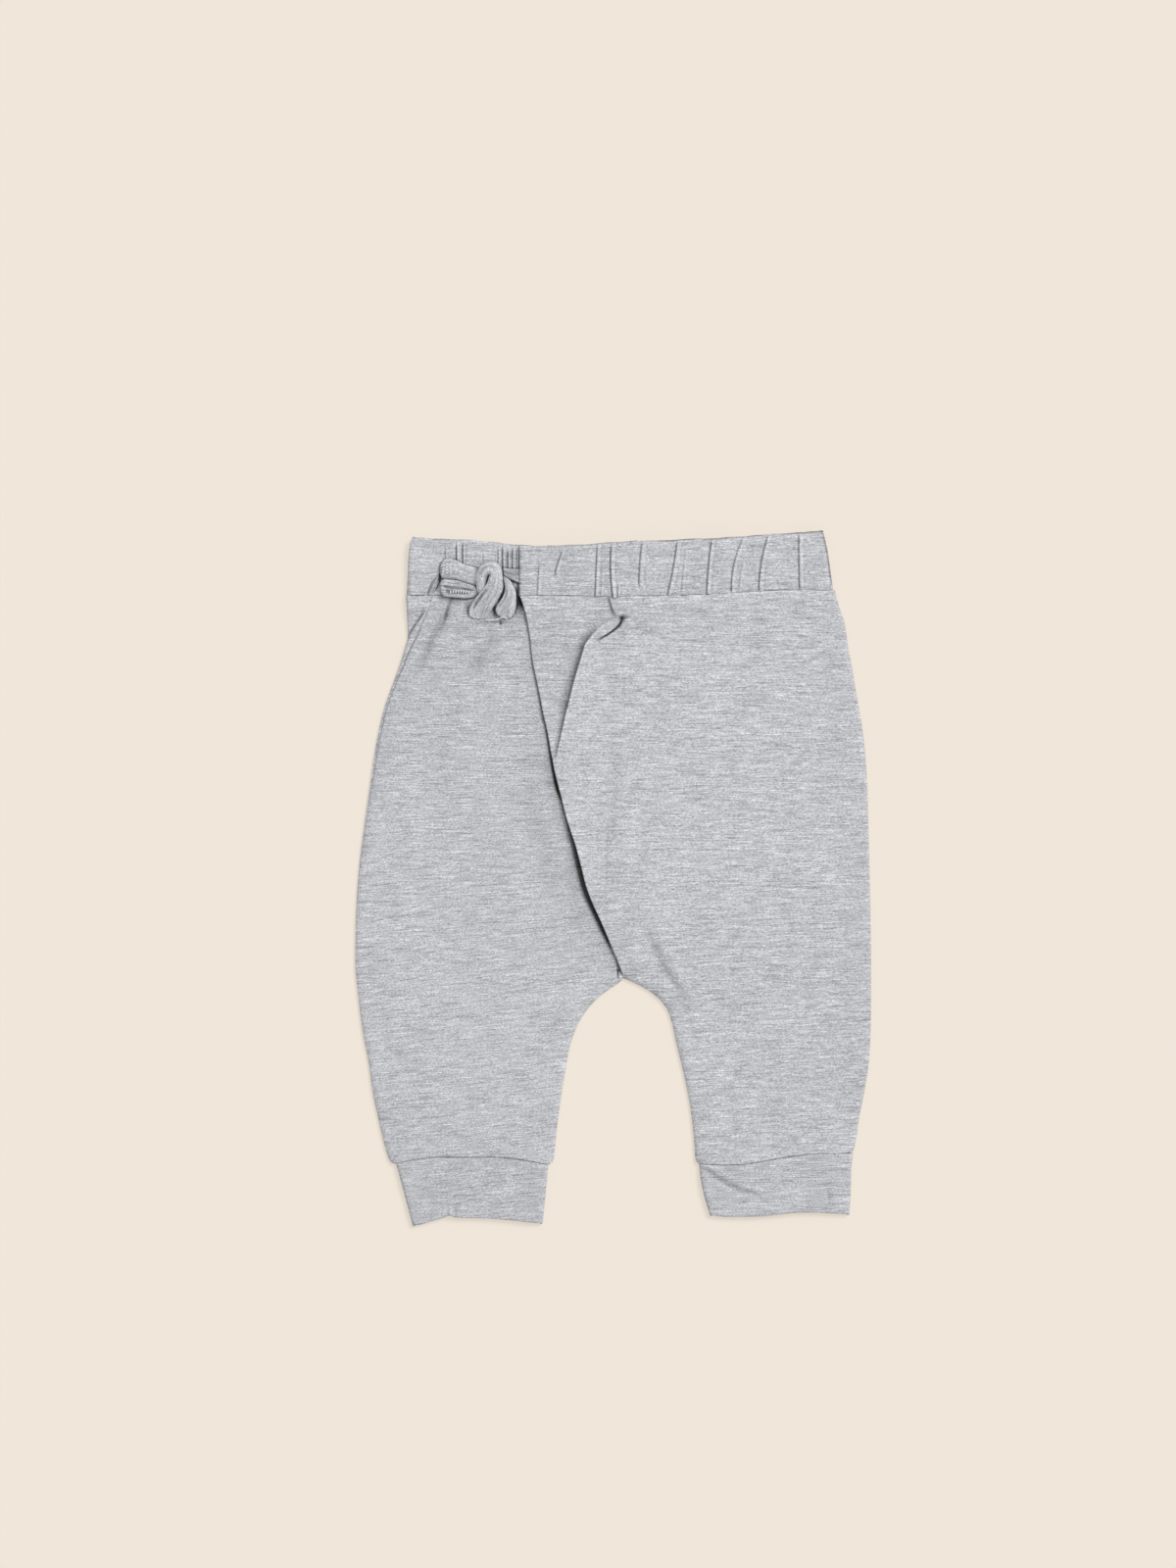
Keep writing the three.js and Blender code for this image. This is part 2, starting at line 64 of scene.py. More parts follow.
# Places of the columns beside an edge, and of the rows near a band's top edge and its seam.
EDGE_STEPS = np.array([0, 0.04, 0.15, 0.35, 0.65, 1.05, 1.55, 2.2, 3.0, 4.0]) * MM
CROWN_LEVELS = (1, 0.9985, 0.994, 0.986, 0.973, 0.955, 0.93)
FOOT_LEVELS = (0.07, 0.045, 0.025, 0.01, 0.0)

LAYER_AIR = 0.35 * MM  # between layers that lie on each other
SHADE_RANGE = (-0.2, 1)  # of the painted shade attribute: below 0 a painted highlight, 1 the darkest painted shade in a crease
TIE_AREA = (-91 * MM, -46 * MM, 129 * MM, 165 * MM)  # left, right, foot and top of the cloth round the tie

FLOOR_HALF = 7.0  # half the floor's side
FLOOR_DROP = 0.1 * MM  # from the cloth down to the floor, so that they never touch
KEY_SIZE = 24  # degrees across, for soft shadows
KEY_TURN = (-28, 34, 0)  # degrees
VIEW_CENTRE = (-12.75 * MM, 48 * MM)
VIEW_HIGH = 0.8  # how much of the floor the camera sees, from the picture's foot to its top
SENSOR = 36  # the camera's, in its own millimetres


def table(names, *rows):
    """A table with named columns, in metres, from rows in millimetres."""
    return dict(zip(names.split(), np.array(rows, float).T * MM))


# Side edges of the panels. The back wraps round the left side and meets the front on top.
SIDES = table(
    "y back front right",
    (144, -105.7, -91.3, 113.2),
    (136, -105.2, -94.0, 115.4),
    (128, -104.8, -97.8, 118.2),
    (123.5, -104.6, -99.6, 119.0),
    (118, -105.9, -102.6, 119.8),
    (108, -109.0, -106.8, 121.8),
    (98, -112.7, -111.2, 123.4),
    (88, -116.2, -114.9, 125.2),
    (68, -120.8, -119.6, 128.2),
    (48, -123.8, -122.8, 129.6),
    (28, -126.7, -126.0, 130.2),
    (8, -129.2, -128.9, 130.7),
    (-12, -130.7, -130.6, 131.2),
    (-42, -131.4, -131.4, 131.6),
    (-60, -129.9, -129.9, 131.6),
    (-80, -127.3, -127.3, 131.3),
    (-94, -124.6, -124.6, 130.5),
    (-108, -122.7, -122.7, 128.3),
    (-124, -119.3, -119.3, 125.4),
    (-132, -117.3, -117.3, 124.5),
    (-144, -113.5, -113.5, 122.8),
)

# Inside leg edges, from the crotch to the cuffs.
INSEAMS = table(
    "y left right",
    (-51, 5.4, 5.8),
    (-52.5, 4.0, 8.6),
    (-54.2, 1.8, 12.4),
    (-57, -2.4, 17.5),
    (-60.5, -6.9, 22.2),
    (-66, -12.3, 27.0),
    (-73, -17.0, 29.8),
    (-84, -21.4, 32.2),
    (-98, -24.2, 35.6),
    (-114, -26.8, 38.9),
    (-130, -28.9, 41.0),
    (-144, -30.4, 42.1),
)

# The wrap's free edge; the gap beside it and how deep the left front sinks there;
# the crest of the tuck, its height and how wide the slope up to it is.
LAP = table(
    "y edge gap sink tuck rise slope",
    (144, -46.8, 1.5, 1.6, -1.7, 0.2, 1.6),
    (141.5, -45.9, 1.6, 1.8, -1.1, 0.7, 1.4),
    (137, -44.5, 0.4, 1.0, 0.5, 1.15, 1.2),
    (134.3, -43.8, 0.25, 0.8, 2.2, 1.3, 2.0),
    (132.8, -43.5, 0.22, 0.7, 0.6, 1.4, 3.4),
    (131, -43.1, 0.2, 0.7, -2.4, 1.6, 3.8),
    (126.8, -42.4, 0.2, 0.7, -7.8, 2.1, 3.2),
    (123.3, -41.8, 0.2, 0.7, -11.0, 2.5, 1.7),
    (119.3, -41.4, 0.2, 0.7, -13.9, 2.6, 1.2),
    (114, -40.9, 0.2, 0.7, -15.7, 2.6, 1.0),
    (109, -40.2, 0.25, 0.8, -17.2, 2.5, 0.9),
    (102, -38.7, 0.3, 0.9, -19.3, 2.3, 0.85),
    (96, -37.4, 0.35, 1.0, -20.9, 2.1, 0.8),
    (89.5, -36.1, 0.45, 1.2, -22.5, 1.9, 0.8),
    (83, -34.9, 0.5, 1.3, -24.2, 1.7, 0.8),
    (76, -33.2, 0.75, 1.5, -25.7, 1.4, 0.8),
    (69, -31.9, 0.95, 1.9, -27.3, 1.0, 0.8),
    (65, -31.2, 1.1, 2.0, -28.3, 0.7, 0.6),
    (61, -30.4, 1.25, 2.1, -29.1, 0.3, 0.5),
    (57.5, -29.8, 1.3, 2.2, -28.7, 0.08, 0.5),
    (54, -29.1, 1.35, 2.3, -27.7, 0, 0.8),
    (50, -28.1, 1.55, 2.4, -26.2, 0, 1.0),
    (46, -27.1, 1.5, 2.4, -24.8, 0, 1.2),
    (42, -26.0, 1.1, 2.2, -23.4, 0, 1.2),
    (38, -25.0, 0.75, 2.0, -22.1, 0, 1.2),
    (31.6, -23.4, 0.65, 1.9, -20.3, 0, 1.2),
    (25, -21.3, 1.3, 2.3, -18.1, 0, 1.2),
    (17, -18.6, 2.0, 2.8, -15.0, 0, 1.2),
    (5.5, -15.5, 2.4, 3.0, -11.9, 0, 1.2),
    (-4.7, -12.9, 2.3, 2.9, -9.3, 0, 1.2),
    (-13, -9.7, 2.2, 2.8, -6.1, 0, 1.2),
    (-21.3, -5.9, 2.0, 2.7, -2.3, 0, 1.2),
    (-29, -2.6, 1.6, 2.4, 1.0, 0, 1.2),
    (-34, -0.6, 0.9, 1.8, 3.0, 0, 1.2),
    (-37, 0.6, 0.2, 0.8, 4.2, 0, 1.2),
    (-40, 2.1, 0.3, 0.9, 5.7, 0, 1.2),
    (-44, 3.5, 0.9, 1.7, 7.1, 0, 1.2),
    (-46.8, 4.6, 1.1, 1.8, 8.2, 0, 1.2),
    (-51, 5.9, 0.2, 0.4, 9.5, 0, 1.2),
)

# The slit beside the tuck, and where the left back rolls over itself before it meets the front.
SLIT = table(
    "y x",
    (119.0, -9.0),
    (121.6, -6.7),
    (123.6, -3.4),
    (126.0, 0.1),
    (128.5, 2.9),
    (131.4, 4.3),
    (134.0, 4.4),
)
ROLL = table("y x", (116, -106.5), (123.5, -103.7), (128, -101.2), (134.5, -96.9), (140, -95.2))

# The seam under the waistband and the band's top edge.
BAND_LINES = table(
    "x seam top",
    (-107, 144.0, 173.6),
    (-101, 144.1, 174.0),
    (-92, 144.2, 173.6),
    (-75, 143.9, 172.7),
    (-60, 143.6, 171.4),
    (-48, 143.5, 170.2),
    (-40, 143.7, 169.6),
    (-25, 143.9, 169.8),
    (-9, 143.4, 170.8),
    (-3.2, 143.3, 171.2),
    (0.9, 142.2, 171.4),
    (4.2, 143.3, 171.6),
    (9, 143.5, 171.9),
    (30, 143.9, 172.6),
    (48, 144.4, 173.3),
    (66, 145.5, 174.5),
    (80, 146.3, 175.6),
    (96, 146.7, 176.7),
    (106, 146.7, 177.3),
    (116, 146.6, 177.5),
)
BAND_SIDES = table(
    "y left right",
    (142, -105.7, 112.6),
    (148, -105.1, 111.6),
    (156, -104.6, 110.5),
    (164, -104.3, 109.2),
    (171, -103.2, 107.6),
    (175, -102.0, 106.6),
    (178, -101.6, 106.0),
)

# Pinches in the elastic. Each has its dark line at the top edge, half way and at the seam,
# where it starts and ends (from 0 at the seam to 1000 at the top), its height and its width.
PINCHES_WRAP = table(
    "top middle seam start end height width",
    (-37.6, -37.9, -38.6, -100, 620, 0.5, 2.0),
    (-24.4, -29.1, -30.4, 330, 900, 0.8, 2.0),
    (-8.0, -8.6, -9.2, -100, 990, 0.75, 1.7),
    (-5.4, -5.8, -6.4, -100, 640, 0.3, 1.3),
    (-0.8, -1.3, -0.1, -100, 990, 0.9, 2.0),
    (2.5, 2.5, 2.2, -100, 260, 0.5, 1.2),
    (14.8, 13.4, 13.2, 120, 990, 0.75, 2.2),
    (32.6, 30.6, 27.6, -100, 990, 0.8, 2.2),
    (37.0, 35.6, 34.6, -60, 900, 0.25, 1.6),
    (50.2, 48.4, 47.6, -100, 1000, 0.85, 1.9),
    (66.6, 61.4, 60.2, -60, 1000, 0.8, 2.0),
    (69.8, 65.6, 63.8, -40, 560, 0.35, 1.6),
    (79.0, 75.4, 74.2, -60, 1000, 0.85, 2.1),
    (94.5, 94.6, 94.9, -60, 1000, 0.75, 1.9),
)
PINCHES_LEFT = table(
    "top middle seam start end height width",
    (-79.7, -79.6, -79.6, 520, 960, 0.95, 1.5),
    (-76.5, -76.4, -76.3, 500, 970, 1.1, 1.0),
    (-85.6, -85.4, -85.8, 480, 900, 0.4, 1.1),
    (-66.2, -66.0, -66.0, 300, 820, 0.3, 1.8),
    (-58.6, -58.6, -58.6, 460, 930, 0.5, 1.4),
    (-56.2, -56.1, -56.0, 430, 960, 1.0, 1.2),
    (-53.5, -53.5, -53.4, 440, 900, 1.3, 1.1),
    (-51.1, -51.1, -51.0, 430, 940, 1.3, 1.0),
    (-48.9, -48.8, -48.7, 430, 920, 1.1, 0.9),
)

# Folds of the fronts: from (x, y) to (x2, y2), height (below 0 a trough), half width.
FOLDS_LEFT = table(
    "x y x2 y2 height width",
    (-81.4, 144.0, -87.6, 128.0, -1.5, 0.7),
    (-83.2, 142.6, -88.6, 129.0, 0.5, 1.0),
    (-87.0, 130.2, -89.6, 123.5, -0.35, 1.0),
    (-83.5, 139.0, -97.0, 112.0, -1.15, 1.8),
    (-92.0, 121.5, -102.5, 101.5, -1.1, 2.3),
    (-59.0, 127.0, -82.0, 93.0, -1.05, 3.6),
    (-62.5, 122.5, -70.5, 105.0, -0.5, 1.5),
    (-56.0, 131.5, -63.5, 117.0, -0.6, 3.0),
    (-57.4, 132.6, -57.3, 127.2, -0.9, 0.6),
    (-73.6, 141.0, -74.0, 132.5, -0.9, 0.8),
    (-61.0, 139.0, -60.2, 131.5, -0.6, 1.0),
    (-71.5, 140.5, -72.0, 131.0, -0.45, 1.4),
    (-50.0, 140.0, -52.0, 116.0, 0.3, 3.0),
    (-36.5, 62.0, -15.5, -30.0, -0.8, 3.4),
    (-45.5, 86.0, -33.0, -38.0, -0.75, 6.0),
    (-92.0, 88.0, -86.0, 18.0, -0.6, 7.0),
    (-112.0, 60.0, -104.0, -40.0, 0.22, 8.0),
    (-60.0, 40.0, -58.0, -60.0, 0.25, 12.0),
    (-24.0, -62.0, -40.0, -96.0, -0.35, 4.0),
    (-100.0, -108.0, -84.0, -141.0, -0.3, 5.0),
    (-52.0, -104.0, -46.0, -142.0, 0.3, 4.0),
    (-72.0, -118.0, -70.0, -143.0, -0.25, 4.0),
)
FOLDS_WRAP = table(
    "x y x2 y2 height width",
    (-1.6, 92.0, -0.6, -2.0, -0.55, 1.3),
    (-3.2, 90.0, -2.6, 4.0, 0.3, 0.7),
    (6.2, 0.0, 6.4, -30.0, -0.2, 2.2),
    (15.0, -24.5, 35.5, -62.0, -1.3, 1.9),
    (19.5, -25.0, 42.0, -65.0, 0.4, 2.6),
    (33.0, -58.0, 43.0, -86.0, -0.5, 2.6),
    (31.0, -21.5, 56.0, -11.0, -0.35, 1.3),
    (74.0, 140.0, 70.0, 112.0, -0.25, 3.0),
    (20.0, 120.0, 34.0, 60.0, 0.25, 10.0),
    (112.0, 100.0, 108.0, 20.0, -0.25, 6.0),
    (64.0, 40.0, 72.0, -70.0, 0.25, 11.0),
    (98.0, -20.0, 104.0, -110.0, -0.3, 8.0),
    (52.0, -100.0, 58.0, -143.0, 0.3, 4.5),
    (104.0, -112.0, 98.0, -139.0, -0.3, 4.0),
    (78.0, -116.0, 82.0, -142.0, -0.22, 4.0),
)
# Folds of the back, which lifts off the surface along them.
FOLDS_BACK = table(
    "x y x2 y2 height width",
    (-20.0, 120.0, -60.0, 20.0, 0.5, 5.0),
    (24.0, 118.0, 58.0, 30.0, 0.45, 6.0),
    (-18.0, -34.0, -64.0, -92.0, 0.6, 4.0),
    (26.0, -34.0, 76.0, -96.0, 0.55, 4.5),
    (-90.0, 60.0, -104.0, -30.0, 0.4, 7.0),
    (100.0, 70.0, 110.0, -20.0, 0.4, 6.0),
    (-70.0, -104.0, -66.0, -140.0, 0.4, 4.0),
    (84.0, -100.0, 82.0, -138.0, 0.4, 4.5),
)

# Folds of the band beside the tie's end.
FOLDS_BAND = table(
    "x y x2 y2 height width",
    (-85.9, 157.4, -92.9, 142.6, -1.9, 0.6),
    (-87.6, 156.4, -94.6, 142.4, 1.2, 0.9),
    (-88.6, 155.4, -96.2, 142.0, -1.7, 0.55),
    (-88.4, 150.0, -91.0, 142.0, -0.5, 1.3),
    (-4.4, 169.0, -4.8, 142.0, -0.4, 1.9),
    (-86.5, 163.5, -88.6, 152.5, -0.45, 1.2),
    (-98.5, 166.0, -99.5, 152.0, 0.3, 2.5),
)

# Each cuff: its seam and hem across the leg, and its sides from seam to hem.
CUFF_LEFT = {
    "across": table(
        "x seam hem",
        (-114, -146.0, -178.8),
        (-110.7, -145.6, -178.4),
        (-103.7, -143.9, -177.6),
        (-97, -142.7, -176.4),
        (-92, -142.2, -174.8),
        (-87, -142.0, -173.5),
        (-83, -142.0, -172.2),
        (-80.5, -142.0, -173.1),
        (-65, -142.0, -173.6),
        (-52, -142.6, -174.6),
        (-40, -144.6, -175.9),
        (-34, -145.7, -176.2),
        (-29, -145.4, -176.3),
    ),
    "sides": table("level left right", (0, -110.6, -33.0), (500, -106.4, -34.3), (1000, -102.2, -35.9)),
}
CUFF_RIGHT = {
    "across": table(
        "x seam hem",
        (42, -145.5, -171.4),
        (50, -145.9, -172.2),
        (59, -146.0, -172.9),
        (68, -145.6, -172.8),
        (77, -144.0, -172.5),
        (86, -142.4, -171.5),
        (93, -141.3, -170.7),
        (100, -140.6, -170.6),
        (112, -140.3, -171.1),
        (123, -140.1, -171.6),
    ),
    "sides": table(
        "level left right", (0, 43.8, 122.3), (300, 44.6, 121.4), (600, 46.2, 121.3), (1000, 49.3, 120.5)
    ),
}
# Creases of the cuffs, each from (x, y) to (x2, y2).
FOLDS_CUFF = table(
    "x y x2 y2 height width",
    (34.0, -142.5, 65.0, -158.5, -0.65, 1.4),
    (53.0, -152.5, 83.0, -167.5, -0.6, 1.3),
    (48.0, -146.5, 66.0, -155.5, 0.25, 1.2),
    (109.4, -152.0, 109.8, -173.0, -0.4, 1.6),
    (91.0, -160.0, 95.0, -172.0, 0.3, 1.0),
    (98.0, -161.0, 99.0, -172.0, -0.25, 1.2),
    (-83.0, -164.0, -82.4, -173.5, 0.6, 1.2),
    (-80.2, -166.0, -80.6, -173.5, -0.4, 1.0),
    (-98.0, -150.0, -90.0, -172.0, -0.25, 3.0),
    (-54.0, -148.0, -50.0, -174.0, 0.25, 3.0),
)

# Soft shades painted on the cloth where it leans away from the light (above 0), and painted light where it lies to it
# (below 0).
SHADES = table(
    "x y reach_x reach_y depth",
    (-2.5, -1.0, 6.5, 26.0, 0.13),
    (2.0, -35.0, 9.0, 11.0, 0.075),
    (-16.0, -30.0, 5.0, 9.0, 0.05),
    (-3.9, 50.0, 0.5, 15.0, -0.13),
    (-2.7, 54.0, 0.7, 20.0, 0.05),
    (-3.1, 13.0, 0.7, 9.0, 0.12),
    (-78.0, 130.0, 18.0, 7.0, 0.09),
    (-92.0, 108.0, 11.0, 14.0, 0.075),
    (-62.0, 111.0, 9.0, 11.0, 0.06),
    (-75.4, 138.0, 1.5, 4.5, 0.12),
    (-48.3, 137.5, 2.4, 5.0, 0.16),
    (-67.0, 130.5, 6.0, 2.5, 0.1),
    (-51.0, 126.5, 4.0, 4.0, 0.08),
    (14.0, 130.0, 20.0, 6.5, 0.1),
    (-31.0, 130.0, 8.0, 6.0, 0.1),
    (25.0, 129.0, 5.0, 4.0, 0.035),
    (56.0, 131.0, 9.0, 5.0, 0.09),
    (0.0, 120.0, 8.0, 6.0, 0.07),
    (47.0, 80.0, 10.0, 7.0, 0.065),
    (-14.5, 40.0, 4.0, 14.0, 0.06),
    (-3.0, 42.0, 6.0, 18.0, 0.03),
    (95.0, 131.0, 20.0, 6.0, 0.05),
    (-29.0, 56.0, 6.0, 9.0, 0.06),
    (-55.0, 75.0, 6.0, 9.0, 0.07),
    (-44.0, 35.0, 5.0, 18.0, 0.065),
    (-36.0, 8.0, 5.0, 9.0, 0.06),
    (-25.0, 26.0, 4.5, 9.0, -0.06),
    (-29.3, 49.5, 0.8, 2.6, 0.4),
    (-28.3, 45.5, 0.8, 2.6, 0.42),
    (-27.1, 41.5, 0.7, 2.6, 0.3),
    (-36.0, -120.0, 8.0, 14.0, 0.075),
    (-105.0, -119.0, 8.0, 9.0, 0.05),
    (42.0, -88.0, 9.0, 28.0, -0.08),
    (86.0, -142.0, 15.0, 16.0, -0.06),
    (-80.0, -171.0, 22.0, 7.0, -0.06),
    (62.0, -171.0, 24.0, 7.0, -0.06),
    (-106.0, 155.0, 5.0, 11.0, -0.1),
    (1.0, 141.0, 9.0, 4.0, 0.095),
    (93.0, -33.0, 9.0, 5.0, 0.06),
    (116.0, -62.0, 7.0, 12.0, 0.045),
    (-67.0, -112.0, 9.0, 8.0, 0.045),
)


def line(columns, across, up):
    """A smooth line without overshoot through two columns of a table, as a function."""
    order = np.argsort(columns[across])
    x, y = columns[across][order], columns[up][order]
    step = np.diff(x)
    slope = np.diff(y) / step
    lean = np.empty_like(y)
    lean[0], lean[-1] = slope[0], slope[-1]
    middle = (slope[:-1] * step[1:] + slope[1:] * step[:-1]) / (step[:-1] + step[1:])
    cap = 3 * np.minimum(abs(slope[:-1]), abs(slope[1:]))
    lean[1:-1] = np.where(slope[:-1] * slope[1:] > 0, np.clip(middle, -cap, cap), 0)

    def at(q):
        q = np.clip(q, x[0], x[-1])
        i = np.clip(np.searchsorted(x, q, side="right") - 1, 0, len(step) - 1)
        w = step[i]
        t = (q - x[i]) / w
        return (
            (1 + 2 * t) * (1 - t) ** 2 * y[i]
            + t * (1 - t) ** 2 * w * lean[i]
            + t * t * (3 - 2 * t) * y[i + 1]
            + t * t * (t - 1) * w * lean[i + 1]
        )

    return at


side_back, side_front, side_right = (line(SIDES, "y", k) for k in ("back", "front", "right"))
inseam_left, inseam_right = line(INSEAMS, "y", "left"), line(INSEAMS, "y", "right")
lap_edge, lap_gap, lap_sink = (line(LAP, "y", k) for k in ("edge", "gap", "sink"))
tuck_crest, tuck_rise, tuck_slope = (line(LAP, "y", k) for k in ("tuck", "rise", "slope"))
slit_line, roll_line = line(SLIT, "y", "x"), line(ROLL, "y", "x")
waist_seam, band_top = line(BAND_LINES, "x", "seam"), line(BAND_LINES, "x", "top")
band_left, band_right = line(BAND_SIDES, "y", "left"), line(BAND_SIDES, "y", "right")
for cuff in (CUFF_LEFT, CUFF_RIGHT):
    cuff["seam"], cuff["hem"] = (line(cuff["across"], "x", k) for k in ("seam", "hem"))
    cuff["left"], cuff["right"] = (line(cuff["sides"], "level", k) for k in ("left", "right"))


def ease(x, low, high):
    """0 below low, 1 above high and a smooth step between."""
    t = np.clip((x - low) / (high - low), 0, 1)
    return t * t * (3 - 2 * t)


def bell(x, width):
    """1 at x = 0, falling off smoothly on both sides over the width."""
    return np.exp(-((x / width) ** 2))


def fade(x, reach):
    """1 up to x = 0, then falling off over the reach."""
    return np.exp(-np.clip(x, 0, None) / reach)


def settle(z, rest, share):
    """Heights z, brought down or up to a resting height where the share is 0."""
    return rest + (z - rest) * share


def hidden_edge(y):
    """The left front's free edge below the wrap: the mirror image of the wrap's."""
    return 2 * CENTRE - lap_edge(y) + 1.8 * MM * (1 - ease(y, CROTCH, CROTCH + 7 * MM))


def inseam_distance(x, y, side):
    """Distance from points x, y to the inside leg's edge, crotch included."""
    edge = inseam_left if side < 0 else inseam_right
    down = CROTCH + (ANKLE - CROTCH) * np.linspace(0, 1, 110) ** 1.5
    nearest = line_distance(x, y, edge(down), down)
    return np.where(y <= CROTCH, np.minimum(nearest, abs(x - edge(y))), nearest)


def line_distance(x, y, line_x, line_y):
    """Distance from points x, y to a line of straight stretches."""
    dx, dy = np.diff(line_x), np.diff(line_y)
    px, py = x[:, None] - line_x[:-1], y[:, None] - line_y[:-1]
    t = np.clip((px * dx + py * dy) / (dx * dx + dy * dy), 0, 1)
    return np.hypot(px - t * dx, py - t * dy).min(axis=1)


def fold_relief(folds, x, y):
    """Height that the folds of a table add at points x, y, and the shade in their troughs."""
    total, shade = np.zeros_like(x), np.zeros_like(x)
    for fx, fy, tx, ty, height, width in zip(*folds.values()):
        dx, dy = tx - fx, ty - fy
        length = np.hypot(dx, dy)
        t = ((x - fx) * dx + (y - fy) * dy) / length**2
        bend = 0.06 * length * np.sin(2.2 * np.pi * t + fx * 900)
        off = ((x - fx) * dy - (y - fy) * dx) / length + bend * 0.35
        window = np.sin(np.pi * np.clip(t, 0, 1)) ** 0.8
        fold = height * window * bell(off, width)
        total += fold
        # painted shade in the troughs
        shade += np.clip(-fold, 0, None) * 0.42 / (MM + width / 1.5)
    return total, shade


def waves(x, y, seed, shortest, longest, count=26, stretch=1.0):
    """Gentle uneven relief between about -1 and 1, from many long and short waves."""
    rng = np.random.default_rng(seed)
    total = np.zeros_like(x)
    for _ in range(count):
        size = shortest * (longest / shortest) ** rng.random()
        angle, phase = rng.random(2) * 2 * np.pi
        total += (size / longest) ** 0.7 * np.sin(
            2 * np.pi / size * (x * np.cos(angle) + y * stretch * np.sin(angle)) + phase
        )
    return total / np.sqrt(count)


def follow_seams(x, level, cuff):
    """y of a panel's point: its level, bent to the curves of the waist seam and the cuff's."""
    near_waist = ease(level, 112 * MM, WAIST)
    near_cuff = 1 - ease(level, ANKLE, ANKLE + 26 * MM)
    return (
        level
        + near_waist * (waist_seam(x) - WAIST - SEAM)
        + near_cuff * (cuff["seam"](x) - ANKLE + SEAM)
    )


def round_off(distance, radius):
    """0 at an edge, rising along a quarter circle to 1 at the radius."""
    t = 1 - np.clip(distance / radius, 0, 1)
    return np.sqrt(np.clip(1 - t * t, 0, 1))


def true_distance(edge, y, across):
    """Distance to an edge line, from the distance measured straight across."""
    slope = (edge(y + MM) - edge(y - MM)) / (2 * MM)
    return across / np.sqrt(1 + slope**2)


def graded(low, high, steps, edge_steps):
    """Columns from low to high, close together at the ends (low, high) that edge_steps marks."""
    left = EDGE_STEPS if edge_steps[0] else EDGE_STEPS[:1]
    right = EDGE_STEPS if edge_steps[1] else EDGE_STEPS[:1]
    a, b = low + left[-1], high - right[-1]
    middle = a + (b - a) * np.linspace(0, 1, steps)[1:-1]
    return np.concatenate([low + left, middle, (high - right)[::-1]])


# ---- sizes, colours and light that a user may change ----


def length(name, description, millimetres):
    """A length that a user may change."""
    return FloatProperty(
        name=name, description=description, default=millimetres * MM, unit="LENGTH", precision=5
    )


def colour(name, description, value):
    """A colour that a user may change."""
    return FloatVectorProperty(name=name, description=description, subtype="COLOR", default=value)


class ClothSizes(PropertyGroup):
    """Sizes of the cloth and its folds."""

    jersey: length("Jersey", "Thickness of one layer of jersey", 1.0)
    band: length("Band", "Thickness of the waistband's wall", 2.1)
    cuff: length("Cuff", "Thickness of a cuff's wall", 1.5)
    puff: length("Puff", "How far the front stands off the back", 2.0)
    lift: length("Waist lift", "How far the band carries the front up", 1.3)
    lap: length("Lap", "How far the wrap's edge stands up where it gapes", 1.9)
    relief: length("Relief", "Height of the cloth's gentle unevenness", 0.16)


class ClothColours(PropertyGroup):
    """Colours of the yarns."""

    jersey: colour("Jersey", "Mean colour of the heather", (0.532, 0.539, 0.565))
    light_slub: colour("Light slub", "Colour of the pale slubs", (0.83, 0.835, 0.85))
    dark_slub: colour("Dark slub", "Colour of the dark slubs", (0.25, 0.255, 0.275))
    thread: colour("Thread", "Colour of the sewing thread", (0.93, 0.93, 0.94))


class StudioSetting(PropertyGroup):
    """Floor, lights and camera."""

    floor: colour("Floor", "Colour of the surface below", (0.871, 0.791, 0.701))
    key: FloatProperty(name="Key light", description="Strength of the main light", default=1.86, min=0)
    ambient: FloatProperty(
        name="Ambient", description="Strength of the light from all round", default=0.575, min=0
    )
    height: length("Camera height", "Height of the camera over the floor", 1900)


# ---- materials ----


class Nodes:
    """Short calls for building a material's nodes."""

    def __init__(self, name):
        self.material = bpy.data.materials.new(name)
        self.material.use_nodes = True
        self.tree = self.material.node_tree
        self.shader = self.tree.nodes["Principled BSDF"]

    def put(self, value, socket):
        """Connects or sets a socket."""
        if isinstance(value, bpy.types.NodeSocket):
            self.tree.links.new(value, socket)
        else:
            socket.default_value = value

    def add(self, kind, inputs=(), **settings):
        node = self.tree.nodes.new("ShaderNode" + kind)
        for key, value in settings.items():
            setattr(node, key, value)
        for key, value in dict(inputs).items():
            self.put(value, node.inputs[key])
        return node

    def noise(self, vector, length, width, seed, detail=2.0, rough=0.55):
        """Noise stretched along the cloth's courses, about length by width in size."""
        scale = (1 / length, 1 / width, 0.35 / width)
        place = (seed * 7.3, seed * 3.1, seed)
        placed = self.add("Mapping", {"Vector": vector, "Scale": scale, "Location": place})
        inputs = {"Vector": placed.outputs[0], "Scale": 1.0, "Detail": detail, "Roughness": rough}
        return self.add("TexNoise", inputs).outputs[0]

    def spread(self, value, low, high, out_low=0.0, out_high=1.0, smooth=True):
        """The range low to high of a value, brought to out_low to out_high."""
        node = self.add(
            "MapRange",
            {"Value": value, "From Min": low, "From Max": high, "To Min": out_low, "To Max": out_high},
            interpolation_type="SMOOTHSTEP" if smooth else "LINEAR",
        )
        return node.outputs[0]

    def math(self, operation, a, b):
        return self.add("Math", {0: a, 1: b}, operation=operation).outputs[0]

    def blend(self, factor, a, b, kind="MIX"):
        node = self.add("Mix", data_type="RGBA", blend_type=kind)
        for index, value in ((0, factor), (6, a), (7, b)):
            self.put(value, node.inputs[index])
        return node.outputs[2]

    def bump(self, height, strength, distance):
        node = self.add("Bump", {"Height": height, "Strength": strength, "Distance": distance})
        self.tree.links.new(node.outputs[0], self.shader.inputs["Normal"])


def tint(colour, factor=1.0):
    """A colour times a factor, opaque."""
    return (*(min(1.0, c * factor) for c in colour), 1)


